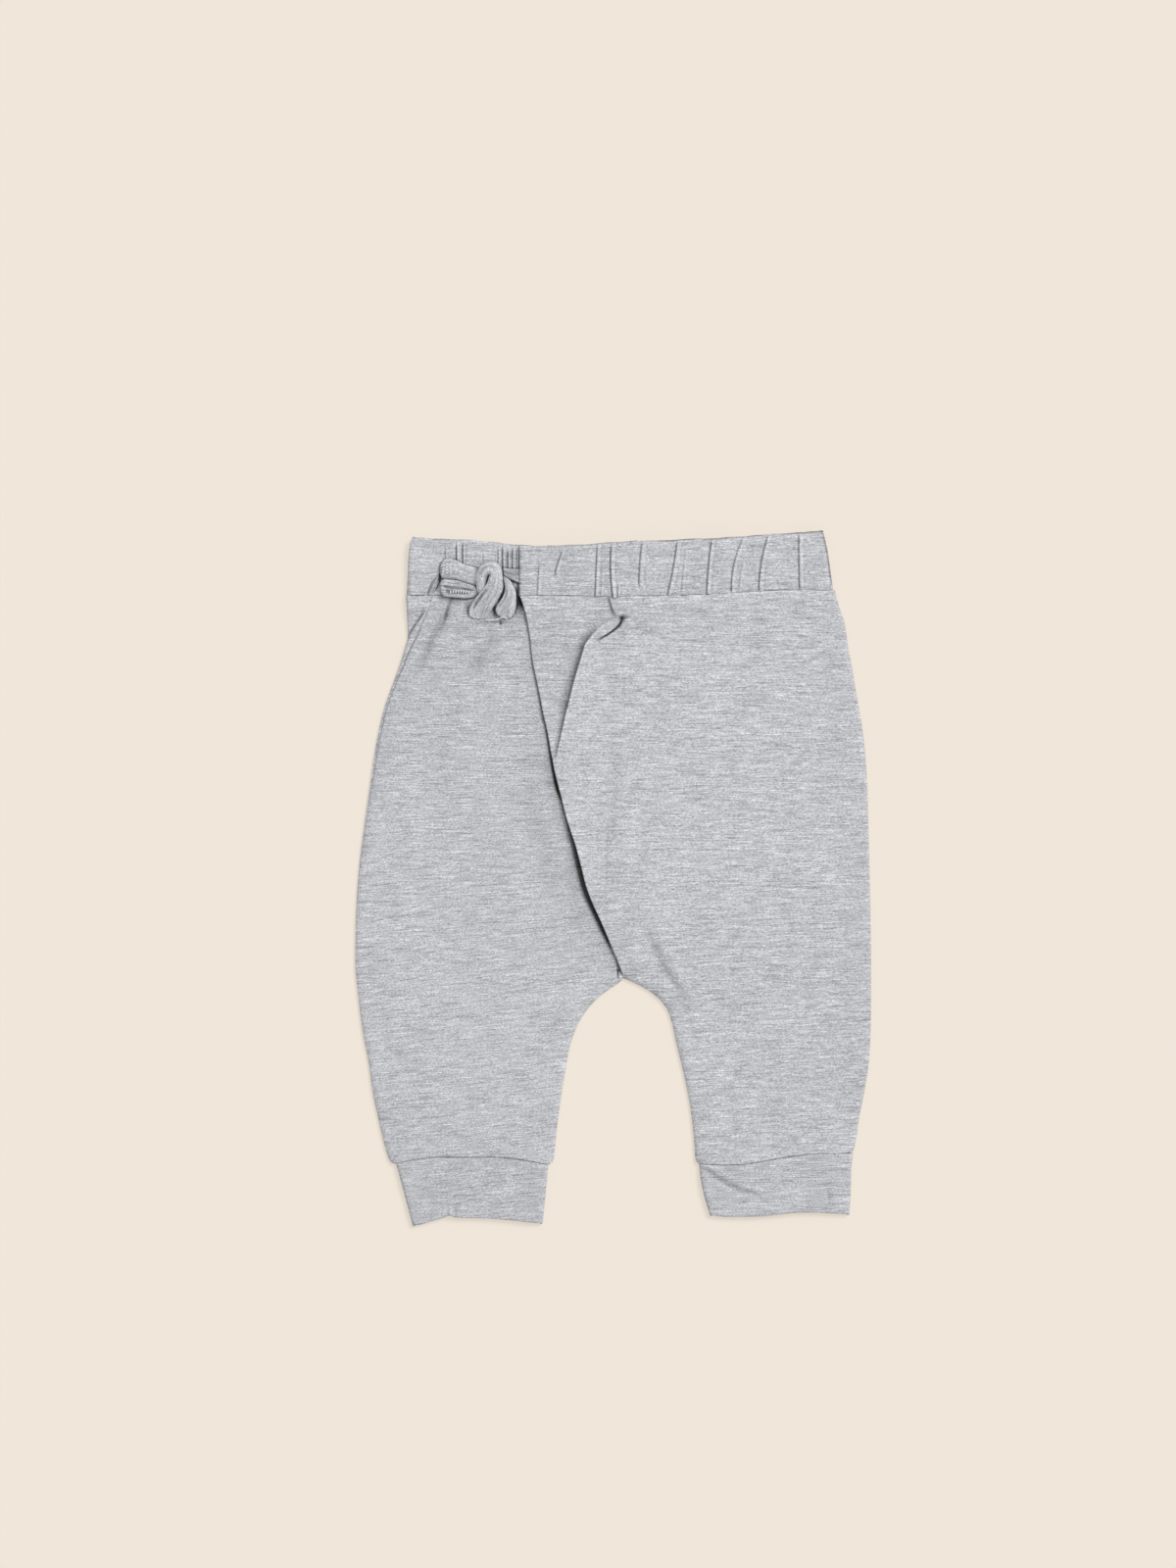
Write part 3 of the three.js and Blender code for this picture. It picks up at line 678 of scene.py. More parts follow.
def heather_jersey(name, shade, seed):
    """Heather slub jersey: pale and dark slubs along the courses, fine melange and knit relief."""
    colours = bpy.context.scene.cloth_colours
    n = Nodes(name)
    cloth = n.add("Attribute", attribute_name="grain").outputs["Vector"]
    painted_shading = n.add("Attribute", attribute_name="painted_shading").outputs["Fac"]
    wander = n.noise(cloth, 30 * MM, 14 * MM, seed + 9.0, 1.0)
    light = n.noise(cloth, 8.5 * MM, 0.6 * MM, seed + 1.0, 2.0, 0.5)
    dark = n.noise(cloth, 10.0 * MM, 0.64 * MM, seed + 4.0, 2.0, 0.5)
    fine = n.noise(cloth, 0.9 * MM, 0.4 * MM, seed + 2.0, 2.0, 0.7)
    cloud = n.noise(cloth, 22 * MM, 5 * MM, seed + 6.0, 2.0, 0.6)
    loops = n.noise(cloth, 0.35 * MM, 0.35 * MM, seed + 8.0, 1.0, 0.6)
    streak = n.noise(cloth, 26 * MM, 0.6 * MM, seed + 5.0, 1.0, 0.5)
    pale = n.math("MAXIMUM", n.spread(light, 0.495, 0.69), n.spread(streak, 0.6, 0.72, 0.0, 0.95))
    deep = n.spread(dark, 0.5, 0.7)
    mean, light_slub, dark_slub = (tint(c, shade) for c in (colours.jersey, colours.light_slub, colours.dark_slub))
    pale_share, deep_share = 0.63, 0.54
    colour = n.blend(n.math("MULTIPLY", pale, pale_share), mean, light_slub)
    colour = n.blend(n.math("MULTIPLY", deep, deep_share), colour, dark_slub)
    tone = n.spread(fine, 0.25, 0.75, 0.42, 1.58, False)
    tone = n.math("MULTIPLY", tone, n.spread(cloud, 0.25, 0.75, 0.975, 1.025, False))
    tone = n.math("MULTIPLY", tone, n.spread(wander, 0.25, 0.75, 0.98, 1.02, False))
    # painted shade: the colour darkens with the painted shade attribute, and lightens as a painted highlight where it
    # is below 0
    tone = n.math("MULTIPLY", tone, n.spread(painted_shading, -0.25, 1.0, 1.23, 0.08, False))
    grey = n.add("CombineColor", {0: tone, 1: tone, 2: tone}).outputs[0]
    colour = n.blend(1.0, colour, grey, "MULTIPLY")
    n.tree.links.new(colour, n.shader.inputs["Base Color"])
    height = n.math("ADD", n.math("SUBTRACT", pale, n.math("MULTIPLY", deep, 0.8)), fine)
    height = n.math("ADD", height, n.math("MULTIPLY", loops, 0.5))
    n.bump(height, 0.5, 0.12 * MM)
    rough = n.spread(fine, 0.3, 0.7, 0.86, 0.98, False)
    n.tree.links.new(rough, n.shader.inputs["Roughness"])
    n.shader.inputs["Sheen Weight"].default_value = 0.12
    n.shader.inputs["Sheen Roughness"].default_value = 0.6
    n.shader.inputs["Specular IOR Level"].default_value = 0.18
    return n.material


def sewing_thread():
    """Twisted polyester thread."""
    n = Nodes("sewing thread")
    place = n.add("TexCoord").outputs["Object"]
    twist = n.noise(place, 0.25 * MM, 0.25 * MM, 3.0, 2.0)
    yarn = bpy.context.scene.cloth_colours.thread
    colour = n.blend(n.spread(twist, 0.3, 0.7), tint(yarn, 0.8), tint(yarn, 1.12))
    n.tree.links.new(colour, n.shader.inputs["Base Color"])
    n.tree.links.new(n.spread(twist, 0.3, 0.7, 0.6, 0.8), n.shader.inputs["Roughness"])
    n.bump(twist, 0.3, 0.05 * MM)
    return n.material


def studio_paper():
    """Matte pale surface under the garment."""
    n = Nodes("pale floor")
    place = n.add("TexCoord").outputs["Object"]
    grain = n.noise(place, 2 * MM, 2 * MM, 1.0, 2.0)
    floor = bpy.context.scene.studio.floor
    lit = 0.35  # the share of its brightness that takes shadows
    colour = n.blend(n.spread(grain, 0.3, 0.7), tint(floor, 0.994 * lit), tint(floor, lit))
    n.tree.links.new(colour, n.shader.inputs["Base Color"])
    n.shader.inputs["Emission Color"].default_value = tint(floor, 1 - lit)
    n.shader.inputs["Emission Strength"].default_value = 1.0
    n.shader.inputs["Roughness"].default_value = 1.0
    n.shader.inputs["Specular IOR Level"].default_value = 0.0
    return n.material


# ---- meshes ----


def grid_normals(points, around):
    """Unit normals of a grid of points."""
    if around:
        wide = np.concatenate([points[:, -1:], points, points[:, :1]], axis=1)
        along = (wide[:, 2:] - wide[:, :-2]) / 2
    else:
        along = np.gradient(points, axis=1)
    down = np.gradient(points, axis=0)
    n = np.cross(down, along)
    length = np.linalg.norm(n, axis=2, keepdims=True)
    return n / np.maximum(length, 1e-12)


def cloth_mesh(name, outer, thickness, grain, painted_shading=None, bulge=(0, 0, 0, 0), around=False, flip=False):
    """A closed wall of cloth under a grid of points on its outer face.

    bulge rounds the four rims (first row, last row, first column, last column), from 0 to 1.
    grain gives each point its place on the flat cloth; the argument after it gives the shade painted into each
    point's colour, with a painted highlight where it is below 0.
    around closes the columns to a tube, and flip turns the outer face to the surface below.
    """
    outer = np.asarray(outer, float)
    normals = grid_normals(outer, around) * (-1 if flip else 1)
    inner = outer - normals * thickness
    painted_shading = np.zeros(outer.shape[:2]) if painted_shading is None else painted_shading
    points, grains, painted_shadings, faces = [], [], [], []

    def keep(p, g, h):
        """Notes points with their grain and painted shade, and gives their numbers."""
        start = sum(len(x) for x in points)
        points.append(p.reshape(-1, 3))
        grains.append(g.reshape(-1, 3))
        painted_shadings.append(h.reshape(-1))
        return start + np.arange(p.size // 3).reshape(p.shape[:-1])

    top = keep(outer, grain, painted_shading)
    # painted shade: the inner skin is painted a little darker
    low = keep(inner, grain, np.minimum(1, painted_shading + 0.15))

    def skin(a, b):
        """Faces between two lines of vertex numbers."""
        faces.append(np.stack([a[:-1], a[1:], b[1:], b[:-1]], axis=-1).reshape(-1, 4))

    def sheet_faces(ids, back):
        """Faces over a grid of vertex numbers."""
        ids = np.concatenate([ids, ids[:, :1]], axis=1) if around else ids
        q = np.stack([ids[:-1, :-1], ids[1:, :-1], ids[1:, 1:], ids[:-1, 1:]], axis=-1).reshape(-1, 4)
        faces.append(q[:, ::-1] if back else q)

    sheet_faces(top, flip)
    sheet_faces(low, not flip)

    def rim(select, neighbour, amount, back):
        """Faces between the two skins along one edge, rounded by the amount."""
        a, b = outer[select], inner[select]
        out = a - outer[neighbour]
        n = normals[select]
        out = out - n * (out * n).sum(-1, keepdims=True)
        out /= np.maximum(np.linalg.norm(out, axis=-1, keepdims=True), 1e-12)
        lines = [top[select]]
        if amount:
            for angle in np.radians([30, 60, 90, 120, 150]):
                reach = n * (thickness / 2 * np.cos(angle)) + out * (thickness / 2 * amount * np.sin(angle))
                lines.append(keep((a + b) / 2 + reach, grain[select], painted_shading[select]))
        lines.append(low[select])
        if around:
            lines = [np.append(x, x[0]) for x in lines]
        for p, q in zip(lines[:-1], lines[1:]):
            skin(q, p) if back != flip else skin(p, q)

    rim(np.s_[0, :], np.s_[1, :], bulge[0], False)
    rim(np.s_[-1, :], np.s_[-2, :], bulge[1], True)
    if not around:
        rim(np.s_[:, 0], np.s_[:, 1], bulge[2], True)
        rim(np.s_[:, -1], np.s_[:, -2], bulge[3], False)
    points, faces, grains, painted_shadings = (np.concatenate(x) for x in (points, faces, grains, painted_shadings))
    return build_mesh(name, points, faces.tolist(), grains, painted_shadings)


def build_mesh(name, points, faces, grains=None, painted_shadings=None):
    """A smooth mesh object, with its grain and painted shade attributes where it has them."""
    mesh = bpy.data.meshes.new(name)
    mesh.from_pydata(points.tolist(), [], faces)
    if grains is not None:
        grain = mesh.attributes.new("grain", "FLOAT_VECTOR", "POINT")
        grain.data.foreach_set("vector", grains.astype(np.float32).ravel())
        painted_shading = mesh.attributes.new("painted_shading", "FLOAT", "POINT")
        painted_shading.data.foreach_set("value", painted_shadings.astype(np.float32))
    mesh.shade_smooth()
    mesh.validate()
    piece = bpy.data.objects.new(name, mesh)
    bpy.context.scene.collection.objects.link(piece)
    return piece


def finish_piece(piece, material, slot_name, *node_names):
    """Gives a piece its material and body, and hides the CAD parts it stands in for; slot_name is not used."""
    piece.data.materials.append(bpy.data.materials[material])
    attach(piece, "root")
    if node_names:
        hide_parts(*node_names)


def lay_grain(outer, tilt, seed):
    """Where each point lies on the flat cloth: unrolled along its courses, tilted where the leg turns."""
    step = np.hypot(np.diff(outer[..., 0], axis=1), np.diff(outer[..., 2], axis=1))
    run = np.concatenate([0 * step[:, :1], np.cumsum(step, axis=1)], axis=1)
    middle = outer.shape[1] // 2
    run += outer[:, middle, None, 0] - run[:, middle, None]
    return np.stack([run, outer[..., 1] - tilt, np.full_like(run, seed * 0.05)], axis=-1)


def row_levels(coarse, *fine_bands):
    """Levels from the waist to the ankle, with closer rows inside the fine bands (low, high, step), in mm."""
    made = [WAIST]
    while made[-1] > ANKLE + 1e-9:
        step = min([s for a, b, s in fine_bands if a * MM <= made[-1] <= b * MM] or [coarse])
        made.append(max(ANKLE, made[-1] - step * MM))
    return np.array(made)


def patches(rows, x, y):
    """Sum at points x, y of a table's soft patches, each with its place, reach and depth."""
    total = np.zeros_like(x)
    for at_x, at_y, reach_x, reach_y, depth in zip(*rows.values()):
        total += depth / MM * bell(x - at_x, reach_x) * bell(y - at_y, reach_y)
    return total


# Painted shadows beside the tie, on the cloth below it.
PAINTED_TIE_SHADOWS = table(
    "x y reach_x reach_y depth",
    (-48.6, 145.8, 1.0, 6.4, 0.85),
    (-46.6, 141.0, 1.8, 1.2, 0.8),
    (-47.4, 137.2, 2.8, 3.6, 0.42),
    (-57.2, 142.8, 1.2, 4.0, 0.95),
    (-60.4, 137.2, 1.2, 2.6, 0.8),
    (-52.0, 151.5, 2.2, 1.6, 0.4),
    (-74.4, 137.4, 1.1, 4.0, 0.3),
    (-78.5, 142.6, 6.0, 0.7, 0.35),
    (-88.4, 153.3, 0.8, 2.2, 0.5),
    (-64.0, 127.0, 6.0, 2.4, 0.12),
    (-57.3, 129.4, 0.5, 1.8, 0.55),
    (-60.2, 133.2, 2.6, 2.2, 0.32),
    (-56.5, 130.6, 3.6, 1.4, 0.14),
)


def tie_shade(x, y):
    """Painted shade on the cloth close round the tie's edges, and painted shadows beside it."""
    shade = np.zeros_like(x)
    left, right, foot, top = TIE_AREA
    near = (x > left) & (x < right) & (y > foot) & (y < top)
    if not near.any():
        return shade
    px, py = x[near], y[near]
    nearest = np.full(px.shape, np.inf)
    for rows in (LOOP_UPPER, LOOP_LOWER, LONG_TAIL, SHORT_TAIL, RIGHT_STRAP):
        for edge_x, edge_y in ((rows["lx"], rows["ly"]), (rows["rx"], rows["ry"])):
            nearest = np.minimum(nearest, line_distance(px, py, edge_x, edge_y))
    clear = np.where(px < -61 * MM, ease(py, 134 * MM, 138.5 * MM), ease(py, 130.5 * MM, 133 * MM))
    shade[near] = 0.7 * bell(nearest, 0.55 * MM) * clear + patches(PAINTED_TIE_SHADOWS, px, py)
    return shade


# ---- the fronts ----


def front_height(x, y, side, sizes):
    """Height of the front's outer face away from its edges."""
    stack = 2 * sizes.jersey + LAYER_AIR
    outer = x - side_front(y) if side < 0 else side_right(y) - x
    rise = 1 - fade(outer, 9 * MM)
    rise = rise * (1 - fade(inseam_distance(x, y, side), 7 * MM))
    lift = sizes.lift * ease(y, 108 * MM, WAIST)
    return stack + sizes.puff * rise + lift


def seam_strength(x):
    """The waist seam's dip fades out towards the left side."""
    return 0.25 + 0.75 * ease(x, -99 * MM, -90 * MM)


def seam_dip(y, seam_y, depth, reach, x=0.0):
    """How much a panel sinks towards a seam at height seam_y, a little unevenly along it."""
    x = np.asarray(x, float)
    uneven = 0.7 + 0.3 * waves(x, 0 * x, 71, 3 * MM, 18 * MM, 12)
    return depth * uneven * bell(seam_y - y, reach)


def waist_gathers(x, y, seed):
    """Small puckers that hang from the waist seam."""
    drop = np.clip(waist_seam(x) - y, 0, None)
    rng = np.random.default_rng(seed)
    total = np.zeros_like(x)
    for _ in range(9):
        size = (4 + 9 * rng.random()) * MM
        reach = (4 + 9 * rng.random()) * MM
        total += np.sin(2 * np.pi * x / size + rng.random() * 7) * fade(drop, reach)
    return total / 3


def left_front():
    """The left front, which runs on below the wrap."""
    sizes = bpy.context.scene.cloth_sizes
    rows, painted_shadings = [], []
    for level in row_levels(1.35, (114, 128, 0.8), (128, 144, 0.45), (-70, -44, 0.6)):
        open_wrap = level > CROTCH
        low = side_front(level) + leg_corner(level)
        high = hidden_edge(level) if open_wrap else inseam_left(level) - leg_corner(level)
        lap = high - (10 + 20 * ease(CROTCH - level, 0, 40 * MM)) * MM
        lap = min(lap_edge(level), lap) if open_wrap else lap
        to_lap = graded(low, lap - 7 * MM, 96, (True, False))
        near = lap - 7 * MM + 12 * MM * np.linspace(0, 1, 35)[1:]
        rest = graded(near[-1], high, 14, (False, True))[1:]
        x = np.concatenate([to_lap, near, rest])
        y = follow_seams(x, level, CUFF_LEFT)
        at = np.full_like(x, level)
        relief, painted_trough_shade = fold_relief(FOLDS_LEFT, x, y)
        z = front_height(x, at, -1, sizes) + relief
        z += sizes.relief * waves(x, y, 11, 12 * MM, 46 * MM)
        z += 0.16 * MM * waist_gathers(x, y, 3) * ease(x, -92 * MM, -80 * MM)
        beside = lap_edge(level) - x
        shade = np.full_like(x, 0.03)
        if open_wrap:
            gap, depth = lap_gap(level), lap_sink(level)
            fall = ease(gap + 0.7 * MM - beside, 0, 1.0 * MM)
            fall = fall + 0.42 * ease(gap + 4.0 * MM - beside, 0, 4.4 * MM) ** 1.5
            z = np.maximum(z - depth / 1.42 * fall, 2 * sizes.jersey + 0.15 * MM)
            # painted shade: dark in the gap under the wrap's edge, a soft painted shadow beside it, and dark in the
            # slit
            wide = np.clip(gap / (1.3 * MM), 0.45, 1)
            shade = 0.95 * ease(gap + 0.25 * MM - beside, 0, 0.7 * MM) * wide
            soft = 0.68 * (1 - 0.6 * bell(level - 21 * MM, 13 * MM)) * wide**1.5
            shade = np.maximum(shade, 0.03 + soft * fade(beside - gap, 2.1 * MM))
            # the short slit at the crotch, where the gap ends
            slit = bell(x - 2.7 * MM + 0.12 * (-47.5 * MM - level), 0.4 * MM)
            slit = slit * ease(-level, 45.5 * MM, 47 * MM)
            z -= 1.5 * MM * slit
            shade = np.clip(shade * (1 - ease(-level, 47 * MM, 49 * MM)) + 0.8 * slit, 0, 1)
        z -= seam_dip(y, waist_seam(x) - SEAM, 0.3 * MM, 0.5 * MM, x) * seam_strength(x)
        z -= seam_dip(-y, -(CUFF_LEFT["seam"](x) + SEAM), 0.35 * MM, 0.5 * MM, x)
        wrapped = ease(side_front(level) - side_back(level), 0, 3 * MM)
        seam_z = sizes.jersey + (0.35 + (1.6 + 1.2 * ease(level, 118 * MM, WAIST)) * wrapped) * MM
        z = settle(z, seam_z, round_off(true_distance(side_front, level, x - low), (2.6 + 4.5 * wrapped) * MM))
        z = settle(z, seam_z, round_off(inseam_distance(x, at, -1), 2.4 * MM))
        # painted shade along the side seam, and painted light along the left side of the leg
        side_seam_shade = 0.5 * ease(level, 30 * MM, 60 * MM) * (1 - ease(level, 124 * MM, 130 * MM))
        lit = ease(-level, -60 * MM, -30 * MM) * (1 - ease(-level, 95 * MM, 125 * MM))
        shade = shade + side_seam_shade * bell(x - low, 0.5 * MM) - 0.055 * lit * bell(x - low - 1 * MM, 9 * MM)
        rows.append(np.stack([x, y, z], axis=-1))
        painted_shadings.append(np.clip(shade + painted_trough_shade + tie_shade(x, y) + patches(SHADES, x, y), *SHADE_RANGE))
    outer = np.array(rows)
    tilt = 0.1 * (outer[..., 0] + 70 * MM) * ease(-outer[..., 1], -60 * MM, 60 * MM)
    grain = lay_grain(outer, tilt, 1)
    piece = cloth_mesh("left_front", outer, sizes.jersey, grain, np.array(painted_shadings), (0, 0, 0, 1))
    finish_piece(piece, "jersey fronts", "jersey", "front_left")


def leg_corner(level):
    """How far a leg's edge turns in as it rounds the corner to the cuff."""
    t = np.clip(1 - (level - ANKLE) / (3.2 * MM), 0, 1)
    return 2.2 * MM * (1 - np.sqrt(1 - t * t))


def wrap_relief(x, y, level):
    """The tuck in the wrap: a slope up to its crest, a slit and a pit beside it, and a small lump.

    Gives the height that they add and the shade painted in them, with a painted highlight on the roll; the wrap is
    also painted a little darker lower down.
    """
    past = x - tuck_crest(level)
    slope = (tuck_crest(level + MM) - tuck_crest(level - MM)) / (2 * MM)
    past = past / np.sqrt(1 + np.clip(abs(slope), 0, 2.2) ** 2)
    strength = np.clip(tuck_rise(level) / (2 * MM), 0, 1)
    step = ease(past, -tuck_slope(level), 0.15 * MM)
    z = tuck_rise(level) * step * (0.35 + 0.65 * fade(past, 22 * MM))
    z += 0.2 * MM * strength * bell(past - 0.5 * MM, 1.1 * MM)
    z -= 0.3 * MM * strength * bell(past + 1.6 * MM, 1.4 * MM)
    along = ease(y, 118.2 * MM, 122.5 * MM) * (1 - ease(y, 131 * MM, 133.5 * MM))
    lean = 1.55  # of the slit, which runs aslant
    off = (x - slit_line(y)) / lean
    slit = along * bell(off, 0.55 * MM)
    pit = bell(x - 4.4 * MM, 2.1 * MM) * bell(y - 132.6 * MM, 1.2 * MM)
    lump = bell(x - 3.6 * MM, 3.6 * MM) * bell(y - 138.6 * MM, 3.4 * MM)
    below = along * ease(off, -0.2 * MM, 0.8 * MM) * fade(off, 5 * MM)
    z += 0.9 * MM * lump - 2.0 * MM * slit - 1.6 * MM * pit - 0.7 * MM * below
    reach = (1.6 + 3.4 * ease(y, 50 * MM, 100 * MM)) * MM
    foot = np.clip(1 + past / reach, 0, 1) ** 1.05 * (1 - ease(past, -0.35 * MM, 0.15 * MM))
    beside = ease(-past, -0.5 * MM, 1.5 * MM) * ease(y, 60 * MM, 90 * MM)
    foot += 0.1 * beside * (1 - ease(y, 126 * MM, 140 * MM))
    foot *= np.clip(tuck_rise(level) / (0.9 * MM), 0, 1) * (1 - 0.8 * ease(y, 121 * MM, 130 * MM))
    roll = bell(past - 0.6 * MM, 0.6 * MM) * strength * (1 - ease(y, 131 * MM, 134 * MM))
    slit_dark = np.clip(1.5 * bell(off, 0.42 * MM), 0, 1) * along * ease(y, 118 * MM, 124 * MM)
    lump_side = bell(past + 0.6 * MM, 0.7 * MM) * ease(y, 133 * MM, 136 * MM)
    # painted shade in the slit, the pit, the foot of the slope and beside the lump, and a painted highlight on the
    # roll
    dark = slit_dark + 0.8 * pit + 0.7 * foot + 0.4 * lump_side - 0.1 * roll
    return z, dark + 0.03 * ease(-y, 0, 60 * MM)


def wrap_front():
    """The right front, which laps over the left one and carries the tuck."""
    sizes = bpy.context.scene.cloth_sizes
    about_crest = np.array(
        [-2.7, -2.1, -1.6, -1.25, -1.0, -0.8, -0.65, -0.5, -0.35, -0.2, -0.05, 0.1, 0.3, 0.6, 1.0, 1.5, 2.1, 2.7]
    )
    rows, painted_shadings = [], []
    for level in row_levels(1.5, (112, 144, 0.45), (-68, -46, 0.6)):
        open_wrap = level > CROTCH
        low = lap_edge(level) if open_wrap else inseam_right(level) + leg_corner(level)
        high = side_right(level) - leg_corner(level)
        crest = tuck_crest(level) if open_wrap else low + 3.6 * MM
        foot = max(crest - 3.4 * MM, low + 0.1 * MM)
        between = low + (foot - low) * np.linspace(0, 1, 22) ** (1 if open_wrap else 1.4)
        step = crest + about_crest * (crest - foot) / 3.4
        fine = step[-1] + 11 * MM * np.linspace(0, 1, 36)[1:]
        rest = graded(fine[-1], high, 74, (False, True))[1:]
        x = np.concatenate([between, step, fine, rest])
        y = follow_seams(x, level, CUFF_RIGHT)
        at = np.full_like(x, level)
        z = front_height(x, at, 1, sizes)
        if open_wrap:
            over = 1 - ease(x, hidden_edge(level) + 1 * MM, hidden_edge(level) + 18 * MM)
            over = over * ease(level, CROTCH, CROTCH + 6 * MM)
            z += over * (sizes.jersey + 0.4 * MM + 0.5 * MM * ease(level, 128 * MM, WAIST))
            gape = sizes.lap * bell(level, 30 * MM) * fade(x - low, 11 * MM) + 0.3 * MM * fade(x - low, 5 * MM)
            z += gape * ease(level, CROTCH, CROTCH + 16 * MM)
        tuck, dark = wrap_relief(x, y, level)
        relief, painted_trough_shade = fold_relief(FOLDS_WRAP, x, y)
        z += tuck + relief
        z += sizes.relief * waves(x, y, 12, 12 * MM, 46 * MM)
        z += 0.2 * MM * waist_gathers(x, y, 5) * ease(x, -8 * MM, 6 * MM)
        z -= seam_dip(y, waist_seam(x) - SEAM, 0.3 * MM, 0.5 * MM, x)
        z -= seam_dip(-y, -(CUFF_RIGHT["seam"](x) + SEAM), 0.35 * MM, 0.5 * MM, x)
        seam_z = sizes.jersey + LAYER_AIR
        z = settle(z, seam_z, round_off(true_distance(side_right, level, high - x), 2.6 * MM))
        z = settle(z, seam_z, round_off(inseam_distance(x, at, 1), 2.4 * MM))
        rows.append(np.stack([x, y, z], axis=-1))
        # painted shade along the right side, fading out towards the cuff
        painted_edge_shade = 0.075 * bell(high - x, 15 * MM) * ease(level, -135 * MM, -100 * MM)
        painted_shadings.append(np.clip(dark + painted_trough_shade + painted_edge_shade + patches(SHADES, x, y), *SHADE_RANGE))
    outer = np.array(rows)
    tilt = 0.05 * (outer[..., 0] - 60 * MM) * ease(-outer[..., 1], -80 * MM, 80 * MM)
    grain = lay_grain(outer, tilt, 2)
    piece = cloth_mesh("wrap_front", outer, sizes.jersey, grain, np.array(painted_shadings), (0, 0, 1, 0))
    finish_piece(piece, "jersey fronts", "jersey", "front_wrap")


# ---- the back ----


def half_back(name, side, cuff, node, seed):
    """Half of the back, its outer face on the surface. The left one wraps round the side."""
    sizes = bpy.context.scene.cloth_sizes
    outer_edge = side_back if side < 0 else side_right
    inner_edge = inseam_left if side < 0 else inseam_right
    seam_z = sizes.jersey + 0.3 * MM
    reach = 1.5 * MM
    rows, painted_shadings = [], []
    for level in row_levels(2.2, (-70, -44, 0.9), (108, 144, 0.8)):
        corner = leg_corner(level)
        edge = outer_edge(level) - side * corner
        seam = CENTRE + side * SEAM if level > CROTCH else inner_edge(level) + side * corner
        x = graded(min(edge, seam), max(edge, seam), 44, (True, True))
        y = follow_seams(x, level, cuff)
        z = np.clip(fold_relief(FOLDS_BACK, x, y)[0], 0, None)
        z += 0.1 * MM * (1 + np.clip(waves(x, y, seed, 14 * MM, 50 * MM), -1, 1)) * 0.5
        z += 0.5 * MM * bell(x - CENTRE, 0.6 * MM) if level > CROTCH else 0
        z += seam_dip(y, waist_seam(x) - SEAM, 0.4 * MM, 0.9 * MM)
        z += seam_dip(-y, -(cuff["seam"](x) + SEAM), 0.4 * MM, 0.9 * MM)
        z *= ease(abs(x - edge), 0, 4 * MM)
        z = settle(z, seam_z, round_off(abs(x - edge), reach))
        if level <= CROTCH:
            z = settle(z, seam_z, round_off(true_distance(inner_edge, level, abs(x - seam)), reach))
        row, painted_shading = np.stack([x, y, z], axis=-1), 0 * x
        if side < 0:
            over, dark = wrapped_strip(level, edge, corner, seam_z, reach)
            row, painted_shading = np.concatenate([over, row]), np.concatenate([dark, painted_shading])
        rows.append(row)
        painted_shadings.append(painted_shading)
    outer = np.array(rows)
    grain = lay_grain(outer, 0.04 * outer[..., 0], 3 + side)
    piece = cloth_mesh(name, outer, sizes.jersey, grain, np.array(painted_shadings), flip=True)
    finish_piece(piece, "jersey back", "jersey", node)


def wrapped_strip(level, edge, corner, seam_z, reach):
    """One row of the strip in which the left back comes round the side to the front's top, and its shade."""
    wrapped = ease(side_front(level) - side_back(level), 0, 3 * MM)
    top = settle((3.0 + 1.2 * ease(level, 118 * MM, WAIST)) * MM, seam_z, wrapped)
    rounding = edge + np.array([1.6, 1.25, 0.85, 0.5, 0.22, 0.05]) * MM
    end = max(side_front(level) - 2 * SEAM + corner, rounding[0] + 0.05 * MM)
    x = np.concatenate([end + (rounding[0] - end) * np.linspace(0, 1, 49)[:-1], rounding])
    y = follow_seams(x, level, CUFF_LEFT)
    lean = 1.2  # of the rolled line, which runs aslant
    off = (x - roll_line(level)) / lean
    rolled = wrapped * ease(level, 118 * MM, 125 * MM) * (1 - ease(level, 132 * MM, 139 * MM))
    z = top + 0.2 * MM * waves(x, np.full_like(x, level), 61, 5 * MM, 24 * MM) * wrapped
    z += rolled * (0.7 * ease(off, -0.3 * MM, 0.9 * MM) - 0.55) * MM
    z -= rolled * 0.8 * MM * bell(off + 0.35 * MM, 0.55 * MM)
    z = settle(z, seam_z, round_off(x - edge, reach))
    z[:2] -= np.array([0.3, 0.08]) * MM * wrapped  # its own edge sinks a little
    z -= seam_dip(y, waist_seam(x) - SEAM, 0.3 * MM, 0.7 * MM) * seam_strength(x)
    side_seam_shade = 0.5 * ease(level, 30 * MM, 60 * MM) * bell(end - x, 0.5 * MM)
    # painted shade under the roll and along the side seam
    dark = np.maximum(0.75 * rolled * bell(off + 0.35 * MM, 0.45 * MM), side_seam_shade)
    return np.stack([x, y, z], axis=-1), dark


# ---- the waistband ----


def pinch_relief(pinches, x, level):
    """Height of the band's pinches and the shade painted on them: a dark line, then a small pleat to its right,
    painted lighter.
    """
    z, dark = np.zeros_like(x), np.zeros_like(x)
    for top, middle, seam, start, end, height, width in zip(*pinches.values()):
        at = seam * (1 - level) * (1 - 2 * level) + 4 * middle * level * (1 - level) + top * level * (2 * level - 1)
        strength = ease(level, start - 0.02, start + 0.14) * (1 - ease(level, end - 0.12, end + 0.02))
        off = (x - at) / width
        pleat = ease(off, -0.04, 0.22) * (1 - ease(off, 0.45, 1.25))
        crease = bell((off + 0.1) * width, max(0.15 * width, 0.32 * MM))
        second = bell(off - 1.25, 0.2)
        z += height * strength * (pleat - 0.75 * crease - 0.22 * second)
        # painted shade in the creases and a painted highlight on the pleat
        tone = 0.62 * crease + 0.12 * second - 0.14 * pleat
        dark += strength * np.clip(height / (0.8 * MM), 0, 1) * tone
    return z, np.clip(dark, *SHADE_RANGE)


